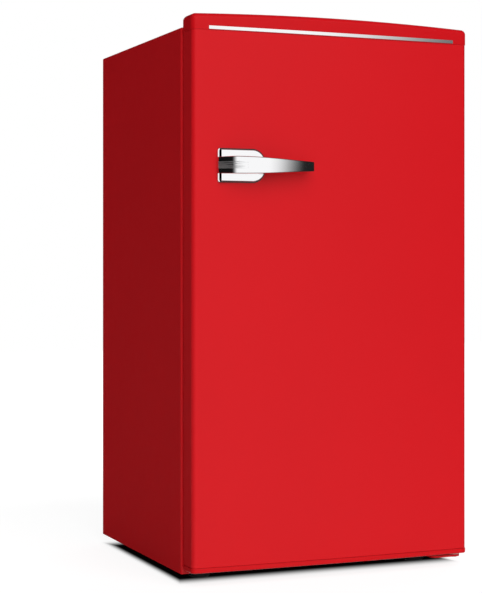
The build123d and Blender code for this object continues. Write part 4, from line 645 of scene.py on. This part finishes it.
def grown(name, tree, values, finish):
    """Runs a tree on an empty mesh and keeps the result as a plain mesh piece."""
    holder = bpy.data.objects.new(f"{name}_source", bpy.data.meshes.new(f"{name}_source"))
    bpy.context.scene.collection.objects.link(holder)
    modifier = holder.modifiers.new("grow", "NODES")
    modifier.node_group = tree
    for item in tree.interface.items_tree:
        if item.in_out == "INPUT" and item.name in values:
            modifier[item.identifier] = values[item.name]
    graph = bpy.context.evaluated_depsgraph_get()
    mesh = bpy.data.meshes.new_from_object(holder.evaluated_get(graph))
    bpy.data.objects.remove(holder)
    if not mesh.polygons:
        raise RuntimeError(f"{name} came out empty")
    mesh.name = name
    return new_piece(name, mesh, finish)


def points_mesh(name, places):
    """Loose points that a tree sets its copies on."""
    mesh = bpy.data.meshes.new(name)
    mesh.from_pydata([tuple(place) for place in places], [], [])
    return mesh


# Operators


class FRIDGE_OT_outer_shell(bpy.types.Operator):
    """Paint the folded cabinet, its front rail and the lower hinge, and finish the hinge cover"""

    bl_idname = "fridge.outer_shell"
    bl_label = "Outer Shell"
    bl_options = {"REGISTER", "UNDO"}

    def execute(self, context):
        for node in ("outer_wrapper", "front_rail", "lower_hinge_bracket"):
            dressed(node, "red_paint")
        dressed("hinge_cover", "red_moulding")
        return {"FINISHED"}


class FRIDGE_OT_door_front(bpy.types.Operator):
    """Paint the crowned door and finish its moulded caps"""

    bl_idname = "fridge.door_front"
    bl_label = "Door Front"
    bl_options = {"REGISTER", "UNDO"}

    def execute(self, context):
        dressed("door_skin", "red_paint")
        dressed("door_top_cap", "red_moulding")
        dressed("door_bottom_cap", "red_moulding")
        return {"FINISHED"}


class FRIDGE_OT_bright_trim(bpy.types.Operator):
    """Plate the strip, the plate of the pull and its lever"""

    bl_idname = "fridge.bright_trim"
    bl_label = "Bright Trim"
    bl_options = {"REGISTER", "UNDO"}

    def execute(self, context):
        dressed("trim_strip", "chrome_plate")
        dressed("handle_plate", "edged_chrome")
        dressed("handle_lever", "grooved_chrome")
        return {"FINISHED"}


class FRIDGE_OT_hinges(bpy.types.Operator):
    """Finish the hinge plate, pins and nylon sleeves"""

    bl_idname = "fridge.hinges"
    bl_label = "Hinges"
    bl_options = {"REGISTER", "UNDO"}

    def execute(self, context):
        for node in ("upper_hinge_plate", "upper_hinge_pin", "lower_hinge_pin"):
            dressed(node, "zinc_plate")
        for node in ("upper_hinge_bush", "lower_hinge_bush"):
            dressed(node, "natural_nylon")
        return {"FINISHED"}


def screw_head_mesh(recess):
    """Domed head over the origin with a cross sunk in its top."""
    radius, height = SCREW_HEAD_RADIUS, SCREW_HEAD_HEIGHT
    build = bmesh.new()
    steps, rings = SCREW_STEPS, SCREW_RINGS
    top = build.verts.new((0, 0, height - recess))
    before = None
    for ring in range(1, rings + 1):
        out = radius * ring / rings
        dome = height * math.sqrt(1 - (out / radius) ** 2 * DOME_FALL)
        row = []
        for step in range(steps):
            angle = 2 * math.pi * step / steps
            x, y = out * math.cos(angle), out * math.sin(angle)
            in_cross = min(abs(x), abs(y)) < radius * CROSS_HALF_WIDTH and out < radius * CROSS_REACH
            row.append(build.verts.new((x, y, dome - (recess if in_cross else 0))))
        for step in range(steps):
            after = (step + 1) % steps
            if before:
                build.faces.new((before[step], row[step], row[after], before[after]))
            else:
                build.faces.new((top, row[step], row[after]))
        before = row
    foot = [build.verts.new((vert.co.x, vert.co.y, 0)) for vert in before]
    for step in range(steps):
        after = (step + 1) % steps
        build.faces.new((before[step], foot[step], foot[after], before[after]))
    build.faces.new(list(reversed(foot)))
    shade_by_angle(build, SCREW_SHARP_ANGLE)
    mesh = bpy.data.meshes.new("screw_head")
    build.to_mesh(mesh)
    build.free()
    return mesh


def screw_tree():
    """Tree that sets one screw on each point, head up or down, with its shank."""
    inputs = [
        ("Points", "NodeSocketObject"),
        ("Head", "NodeSocketObject"),
        ("Shank Radius", "NodeSocketFloat"),
        ("Shank Length", "NodeSocketFloat"),
        ("Flip", "NodeSocketFloat"),
        ("Material", "NodeSocketMaterial"),
    ]
    graph, given, output = geometry_tree("Screws", inputs)
    points = graph.node("GeometryNodeObjectInfo", {"Object": given.outputs["Points"]})
    head = graph.node("GeometryNodeObjectInfo", {"Object": given.outputs["Head"]})
    radius, depth = (given.outputs[f"Shank {size}"] for size in ("Radius", "Length"))
    shank = graph.node("GeometryNodeMeshCylinder", {"Vertices": 20, "Radius": radius, "Depth": depth})
    below = graph.node("ShaderNodeCombineXYZ", {"Z": graph.value(depth) * -0.5})
    sockets = {"Geometry": shank.outputs[0], "Translation": below.outputs[0]}
    lowered = graph.node("GeometryNodeTransform", sockets)
    screw = graph.node("GeometryNodeJoinGeometry")
    graph.feed(screw.inputs[0], lowered.outputs[0])
    graph.feed(screw.inputs[0], head.outputs["Geometry"])
    tilt = graph.node("ShaderNodeCombineXYZ", {"X": given.outputs["Flip"]})
    sockets = {
        "Points": points.outputs["Geometry"],
        "Instance": screw.outputs[0],
        "Rotation": tilt.outputs[0],
    }
    copies = graph.node("GeometryNodeInstanceOnPoints", sockets)
    end_tree(graph, copies.outputs[0], given.outputs["Material"], output)
    return graph.tree


def node_centres(node):
    """Middle in plan of each separate solid of a CAD piece."""
    build = bmesh.new()
    build.from_mesh(frame["nodes"][node].data)
    bmesh.ops.remove_doubles(build, verts=build.verts, dist=MERGE_DISTANCE)
    waiting = set(build.verts)
    centres = []
    while waiting:
        island, border = set(), [waiting.pop()]
        while border:
            vert = border.pop()
            island.add(vert)
            for link in vert.link_edges:
                other = link.other_vert(vert)
                if other in waiting:
                    waiting.remove(other)
                    border.append(other)
        xs = [vert.co.x for vert in island]
        ys = [vert.co.y for vert in island]
        centres.append(((min(xs) + max(xs)) / 2, (min(ys) + max(ys)) / 2))
    build.free()
    return sorted(centres)


class FRIDGE_OT_fasteners(bpy.types.Operator):
    """Set cross-headed screws in the hinges and finish the bolts of the compressor"""

    bl_idname = "fridge.fasteners"
    bl_label = "Fasteners"
    bl_options = {"REGISTER", "UNDO"}

    def execute(self, context):
        recess = context.scene.fridge_sizes.screw_recess
        self.set_screws("upper_hinge_screws", 1, recess)
        self.set_screws("lower_hinge_bolts", -1, recess)
        dressed("compressor_bolts", "zinc_plate")
        painted("handle_screws", "zinc_plate")
        return {"FINISHED"}

    def set_screws(self, node, up, recess):
        low, high = (Vector(corner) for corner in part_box(node))
        seat = high.z - SCREW_HEAD_HEIGHT if up > 0 else low.z + SCREW_HEAD_HEIGHT
        linked = bpy.context.scene.collection.objects
        places = [(x, y, seat) for x, y in node_centres(node)]
        points = bpy.data.objects.new("screw_places", points_mesh("screw_places", places))
        head = bpy.data.objects.new("screw_head", screw_head_mesh(recess))
        linked.link(points)
        linked.link(head)
        values = {
            "Points": points,
            "Head": head,
            "Shank Radius": SCREW_SHANK_RADIUS,
            "Shank Length": (high.z - low.z) - SCREW_HEAD_HEIGHT,
            "Flip": 0.0 if up > 0 else math.pi,
            "Material": finish_of("zinc_plate"),
        }
        piece = grown(f"{node}_finish", screw_tree(), values, "zinc_plate")
        bpy.data.objects.remove(points)
        bpy.data.objects.remove(head)
        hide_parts(node)
        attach(piece, BODY_OF[node])


class FRIDGE_OT_lining(bpy.types.Operator):
    """Finish the formed linings, the freezer's front and hangers, and the thermostat"""

    bl_idname = "fridge.lining"
    bl_label = "Lining"
    bl_options = {"REGISTER", "UNDO"}

    def execute(self, context):
        for node in ("inner_liner", "door_liner"):
            dressed(node, "white_lining")
        for node in ("freezer_frame", "freezer_flap", "thermostat_housing", "thermostat_knob"):
            dressed(node, "white_moulding")
        dressed("evaporator_hangers", "white_moulding")
        return {"FINISHED"}


def mark_tree():
    """Tree that sets raised bars round an arc."""
    inputs = [
        ("Count", "NodeSocketInt"),
        ("Radius", "NodeSocketFloat"),
        ("Size", "NodeSocketVector"),
        ("Centre", "NodeSocketVector"),
        ("Material", "NodeSocketMaterial"),
    ]
    graph, given, output = geometry_tree("Dial Marks", inputs)
    arc = graph.node(
        "GeometryNodeCurveArc",
        {
            "Resolution": given.outputs["Count"],
            "Radius": given.outputs["Radius"],
            "Start Angle": DIAL_START,
            "Sweep Angle": DIAL_SWEEP,
        },
    )
    points = graph.node("GeometryNodeCurveToPoints", {"Curve": arc.outputs[0]}, mode="EVALUATED")
    bar = graph.node("GeometryNodeMeshCube", {"Size": given.outputs["Size"]})
    outward = {"Vector": points.outputs["Normal"]}
    align = graph.node("FunctionNodeAlignRotationToVector", outward, axis="X")
    copies = graph.node(
        "GeometryNodeInstanceOnPoints",
        {"Points": points.outputs[0], "Instance": bar.outputs[0], "Rotation": align.outputs[0]},
    )
    stood = graph.node(
        "GeometryNodeTransform",
        {
            "Geometry": copies.outputs[0],
            "Rotation": (math.pi / 2, 0, 0),
            "Translation": given.outputs["Centre"],
        },
    )
    end_tree(graph, stood.outputs[0], given.outputs["Material"], output)
    return graph.tree


class FRIDGE_OT_dial_marks(bpy.types.Operator):
    """Raise small marks round the thermostat dial"""

    bl_idname = "fridge.dial_marks"
    bl_label = "Dial Marks"
    bl_options = {"REGISTER", "UNDO"}

    def execute(self, context):
        sizes = context.scene.fridge_sizes
        low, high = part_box("thermostat_knob")
        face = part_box("thermostat_housing")[0][1]
        centre = ((low[0] + high[0]) / 2, face, (low[2] + high[2]) / 2)
        values = {
            "Count": sizes.mark_count,
            "Radius": (high[0] - low[0]) / 2 + sizes.mark_length * MARK_OFFSET,
            "Size": (sizes.mark_length, MARK_WIDTH, MARK_HEIGHT),
            "Centre": centre,
            "Material": finish_of("dial_mark"),
        }
        marks = grown("dial_marks", mark_tree(), values, "dial_mark")
        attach(marks, "cabinet")
        return {"FINISHED"}


def seal_path(low, high, inset, corner, steps):
    """Middle line of the seal in X and Z with its outward direction, as a rounded rectangle."""
    centres = [
        (high.x - inset - corner, high.z - inset - corner, 0),
        (low.x + inset + corner, high.z - inset - corner, 1),
        (low.x + inset + corner, low.z + inset + corner, 2),
        (high.x - inset - corner, low.z + inset + corner, 3),
    ]
    path = []
    for x, z, quarter in centres:
        for step in range(steps + 1):
            angle = math.pi / 2 * (quarter + step / steps)
            out = (math.cos(angle), math.sin(angle))
            path.append((x + corner * out[0], z + corner * out[1], out))
    return path


class FRIDGE_OT_door_seal(bpy.types.Operator):
    """Build the folded door seal round the door lining"""

    bl_idname = "fridge.door_seal"
    bl_label = "Door Seal"
    bl_options = {"REGISTER", "UNDO"}

    def execute(self, context):
        low, high = (Vector(end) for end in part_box("door_gasket"))
        depth = high.y - low.y
        half = SEAL_HALF_WIDTH
        section = SEAL_HALF_SECTION + [(-across, rise) for across, rise in reversed(SEAL_HALF_SECTION)]
        corner = context.scene.fridge_sizes.seal_corner
        path = seal_path(low, high, half, corner, SEAL_CORNER_STEPS)
        build = bmesh.new()
        rings = []
        for x, z, out in path:
            ring = []
            for across, rise in section:
                reach = half * across
                place = (x + out[0] * reach, low.y + depth * rise, z + out[1] * reach)
                ring.append(build.verts.new(place))
            rings.append(ring)
        around = len(section)
        for ring, after in zip(rings, rings[1:] + rings[:1]):
            for index in range(around):
                nearby = (index + 1) % around
                build.faces.new((ring[index], after[index], after[nearby], ring[nearby]))
        bmesh.ops.recalc_face_normals(build, faces=build.faces)
        shade_by_angle(build, SEAL_SHARP_ANGLE)
        mesh = bpy.data.meshes.new("door_seal")
        build.to_mesh(mesh)
        build.free()
        seal = new_piece("door_seal", mesh, "door_seal")
        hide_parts("door_gasket")
        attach(seal, "door")
        return {"FINISHED"}


class FRIDGE_OT_shelves_and_bins(bpy.types.Operator):
    """Finish the glass shelves, their trims, the door bins and the drip tray"""

    bl_idname = "fridge.shelves_and_bins"
    bl_label = "Shelves and Bins"
    bl_options = {"REGISTER", "UNDO"}

    def execute(self, context):
        for shelf in ("upper_shelf", "lower_shelf"):
            dressed(f"{shelf}_glass", "shelf_glass")
            dressed(f"{shelf}_trim", "white_moulding")
        for node in ("bottle_bin", "middle_bin", "upper_bin", "drip_tray"):
            dressed(node, "clear_moulding")
        return {"FINISHED"}


class FRIDGE_OT_cooling(bpy.types.Operator):
    """Finish the freezer box, the compressor and the lines of the cooling circuit"""

    bl_idname = "fridge.cooling"
    bl_label = "Cooling Circuit"
    bl_options = {"REGISTER", "UNDO"}

    def execute(self, context):
        dressed("evaporator_box", "freezer_sheet")
        for node in ("compressor", "discharge_tube", "condenser_tube"):
            dressed(node, "black_enamel")
        for node in ("suction_tube", "drier_tube", "filter_drier", "capillary_tube"):
            dressed(node, "copper_line")
        for node in ("terminal_cover", "evaporation_tray", "condenser_clips"):
            dressed(node, "black_moulding")
        for node in ("compressor_grommets", "cord_gland"):
            dressed(node, "black_rubber")
        dressed("drain_tube", "natural_nylon")
        return {"FINISHED"}


def wire_tree():
    """Tree that lays two rows of upright wires."""
    inputs = [
        ("Count", "NodeSocketInt"),
        ("Pitch", "NodeSocketFloat"),
        ("Radius", "NodeSocketFloat"),
        ("Length", "NodeSocketFloat"),
        ("Front", "NodeSocketVector"),
        ("Back", "NodeSocketVector"),
        ("Material", "NodeSocketMaterial"),
    ]
    graph, given, output = geometry_tree("Condenser Wires", inputs)
    sizes = {"Vertices": 10, "Radius": given.outputs["Radius"], "Depth": given.outputs["Length"]}
    wire = graph.node("GeometryNodeMeshCylinder", sizes)
    step = graph.node("ShaderNodeCombineXYZ", {"X": given.outputs["Pitch"]})
    rows = graph.node("GeometryNodeJoinGeometry")
    for row in ("Front", "Back"):
        places = {
            "Count": given.outputs["Count"],
            "Start Location": given.outputs[row],
            "Offset": step.outputs[0],
        }
        line = graph.node("GeometryNodeMeshLine", places)
        graph.feed(rows.inputs[0], line.outputs[0])
    sockets = {"Points": rows.outputs[0], "Instance": wire.outputs[0]}
    copies = graph.node("GeometryNodeInstanceOnPoints", sockets)
    end_tree(graph, copies.outputs[0], given.outputs["Material"], output)
    return graph.tree


class FRIDGE_OT_condenser_wires(bpy.types.Operator):
    """Lay the upright wires on both faces of the condenser"""

    bl_idname = "fridge.condenser_wires"
    bl_label = "Condenser Wires"
    bl_options = {"REGISTER", "UNDO"}

    def execute(self, context):
        sizes = context.scene.fridge_sizes
        low, high = (Vector(corner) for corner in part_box("condenser_wires"))
        start = -(sizes.wire_count - 1) / 2 * sizes.wire_pitch
        middle = (low.z + high.z) / 2
        values = {
            "Count": sizes.wire_count,
            "Pitch": sizes.wire_pitch,
            "Radius": sizes.wire_radius,
            "Length": high.z - low.z,
            "Front": (start, low.y + sizes.wire_radius, middle),
            "Back": (start, high.y - sizes.wire_radius, middle),
            "Material": finish_of("black_enamel"),
        }
        wires = grown("condenser_wires_finish", wire_tree(), values, "black_enamel")
        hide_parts("condenser_wires")
        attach(wires, "cabinet")
        return {"FINISHED"}


class FRIDGE_OT_underside(bpy.types.Operator):
    """Finish the pan, the rear sheets, the feet and the hidden insulation"""

    bl_idname = "fridge.underside"
    bl_label = "Back and Underside"
    bl_options = {"REGISTER", "UNDO"}

    def execute(self, context):
        for node in ("base_pan", "bay_panel", "rear_panel"):
            dressed(node, "galvanised_sheet")
        for node in ("foot_sockets", "rear_feet", "left_levelling_foot", "right_levelling_foot"):
            dressed(node, "black_rubber")
        for node in ("cabinet_foam", "door_foam"):
            painted(node, "insulation")
        return {"FINISHED"}


# Stage


def ground_material(name, depth):
    """Ground with a painted shadow, dark under the fridge, that also holds a soft real shadow and is white
    to the eye further off.
    """
    finish = Finish(name)
    x, y, _ = finish.axes(finish.place)
    near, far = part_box("outer_wrapper")
    left, right = near[0], far[0] + depth * PAINTED_SHADOW_PAST_RIGHT
    front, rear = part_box("door_skin")[0][1], far[1] + depth * PAINTED_SHADOW_PAST_REAR
    beside = (x - (left + right) / 2).size() - (right - left) / 2
    beyond = (y - (front + rear) / 2).size() - (rear - front) / 2
    distance = (beside * SIDE_STEEPNESS - depth * PAINTED_SHADOW_PAST_SIDES).larger(beyond)
    # Painted shadow: a mask that is 0 under the fridge and 1 past its edges
    outside_painted_shadow = distance.ease(-depth, -depth * PAINTED_SHADOW_CLEAR_DEPTH)
    # Painted shadow: the ground's base colour is nearly black under the fridge and pale beyond
    finish.set(base_color=finish.mix(outside_painted_shadow, PAINTED_SHADOW_TONE, PALE_TONE), roughness=0.9, specular_ior_level=0.0)
    rays = finish.node("ShaderNodeLightPath")
    seen = finish.value(rays.outputs["Is Camera Ray"]) + rays.outputs["Is Transmission Ray"]
    plain = finish.node("ShaderNodeEmission", {"Color": (1, 1, 1, 1), "Strength": GROUND_GLOW})
    shaded = SHADOW_SHARE * distance.ease(*SHADOW_FADE)
    # The white glow to the eye starts only outside the painted shadow
    sockets = {0: seen * outside_painted_shadow * (1 - shaded), 1: finish.shader.outputs[0], 2: plain.outputs[0]}
    finish.put_out(finish.node("ShaderNodeMixShader", sockets).outputs[0])
    return finish.material


def broad_light(name, place, aim, strength, spread):
    """Very soft even light from one side."""
    data = bpy.data.lights.new(name, "SUN")
    data.energy = strength
    data.angle = spread
    made = bpy.data.objects.new(name, data)
    made.location = place
    made.rotation_euler = (Vector(aim) - Vector(place)).to_track_quat("-Z", "Y").to_euler()
    made.visible_glossy = False
    bpy.context.scene.collection.objects.link(made)


class FRIDGE_OT_stage(bpy.types.Operator):
    """Set the pale ground with its painted shadow, the white surround, the soft front light and the camera
    """

    bl_idname = "fridge.stage"
    bl_label = "Stage"
    bl_options = {"REGISTER", "UNDO"}

    def execute(self, context):
        stage = context.scene.fridge_stage
        context.scene.view_settings.view_transform = "Standard"
        self.add_ground(stage)
        self.add_surround(stage)
        self.add_light(stage)
        self.add_camera(stage)
        return {"FINISHED"}

    def add_ground(self, stage):
        mesh = bpy.data.meshes.new("ground")
        signs = ((-1, -1), (1, -1), (1, 1), (-1, 1))
        corners = [(GROUND_REACH * x, GROUND_REACH * y, 0) for x, y in signs]
        mesh.from_pydata(corners, [], [(0, 1, 2, 3)])
        mesh.materials.append(ground_material("pale_ground", stage.painted_shadow_depth))
        ground = bpy.data.objects.new("ground", mesh)
        ground.visible_glossy = False
        bpy.context.scene.collection.objects.link(ground)

    def add_surround(self, stage):
        world = bpy.data.worlds.new("white_surround")
        world.use_nodes = True
        bpy.context.scene.world = world
        graph = Graph(world.node_tree)
        background = graph.tree.nodes["Background"]
        rays = graph.node("ShaderNodeLightPath")
        across, ahead, above = graph.axes(graph.node("ShaderNodeTexCoord").outputs["Generated"])
        sides = across.ease(*WALL_LEFT_FADE).power(WALL_LEFT_POWER) * across.ease(*WALL_RIGHT_FADE)
        wall = sides * ahead.ease(*WALL_FRONT_FADE) * above.size().ease(*WALL_HEIGHT_FADE)
        rear = ahead.ease(*FILL_REAR_FADE) * across.ease(*FILL_RIGHT_FADE)
        low_rear = rear * above.ease(*FILL_HEIGHT_FADE) * across.ease(*FILL_FAR_RIGHT_FADE)
        dim = DIM_MIRROR * across.ease(*DIM_FADE)
        bright = dim + (1 - DIM_MIRROR) * wall + stage.rear_fill * low_rear
        mirrored = bright * rays.outputs["Is Glossy Ray"]
        even = (stage.ambient + stage.rear_fill * rear) * rays.outputs["Is Diffuse Ray"]
        seen = graph.value(rays.outputs["Is Camera Ray"]) + rays.outputs["Is Transmission Ray"]
        background.inputs["Color"].default_value = (1, 1, 1, 1)
        graph.feed(background.inputs["Strength"], seen + mirrored + even)

    def add_light(self, stage):
        broad_light("front_key", KEY_PLACE, KEY_AIM, stage.key, KEY_SPREAD)

    def add_camera(self, stage):
        data = bpy.data.cameras.new("photo_camera")
        data.lens = stage.lens
        data.sensor_width = SENSOR_WIDTH
        data.shift_y = stage.drop
        camera = bpy.data.objects.new("photo_camera", data)
        camera.location = stage.eye
        camera.rotation_euler = (math.pi / 2, 0, -stage.turn)
        bpy.context.scene.collection.objects.link(camera)
        bpy.context.scene.camera = camera


STEPS = (
    FRIDGE_OT_outer_shell,
    FRIDGE_OT_door_front,
    FRIDGE_OT_bright_trim,
    FRIDGE_OT_hinges,
    FRIDGE_OT_fasteners,
    FRIDGE_OT_lining,
    FRIDGE_OT_dial_marks,
    FRIDGE_OT_door_seal,
    FRIDGE_OT_shelves_and_bins,
    FRIDGE_OT_cooling,
    FRIDGE_OT_condenser_wires,
    FRIDGE_OT_underside,
    FRIDGE_OT_stage,
)


class FRIDGE_PT_finish(bpy.types.Panel):
    """Settings and steps of the fridge's finish"""

    bl_idname = "FRIDGE_PT_finish"
    bl_label = "Compact Fridge"
    bl_space_type = "VIEW_3D"
    bl_region_type = "UI"
    bl_category = "Fridge"

    def draw(self, context):
        scene = context.scene
        for group in (scene.fridge_colours, scene.fridge_sizes, scene.fridge_stage):
            box = self.layout.box()
            for name in group.__annotations__:
                box.prop(group, name)
        for step in STEPS:
            self.layout.operator(step.bl_idname)


CLASSES = (FridgeColours, FridgeSizes, FridgeStage, *STEPS, FRIDGE_PT_finish)


def register():
    for item in CLASSES:
        bpy.utils.register_class(item)
    bpy.types.Scene.fridge_colours = PointerProperty(type=FridgeColours)
    bpy.types.Scene.fridge_sizes = PointerProperty(type=FridgeSizes)
    bpy.types.Scene.fridge_stage = PointerProperty(type=FridgeStage)


def unregister():
    del bpy.types.Scene.fridge_stage
    del bpy.types.Scene.fridge_sizes
    del bpy.types.Scene.fridge_colours
    for item in reversed(CLASSES):
        bpy.utils.unregister_class(item)


def main():
    """Runs every step in order."""
    register()
    for step in STEPS:
        group, name = step.bl_idname.split(".")
        getattr(getattr(bpy.ops, group), name)()


if __name__ == "__main__":
    main()
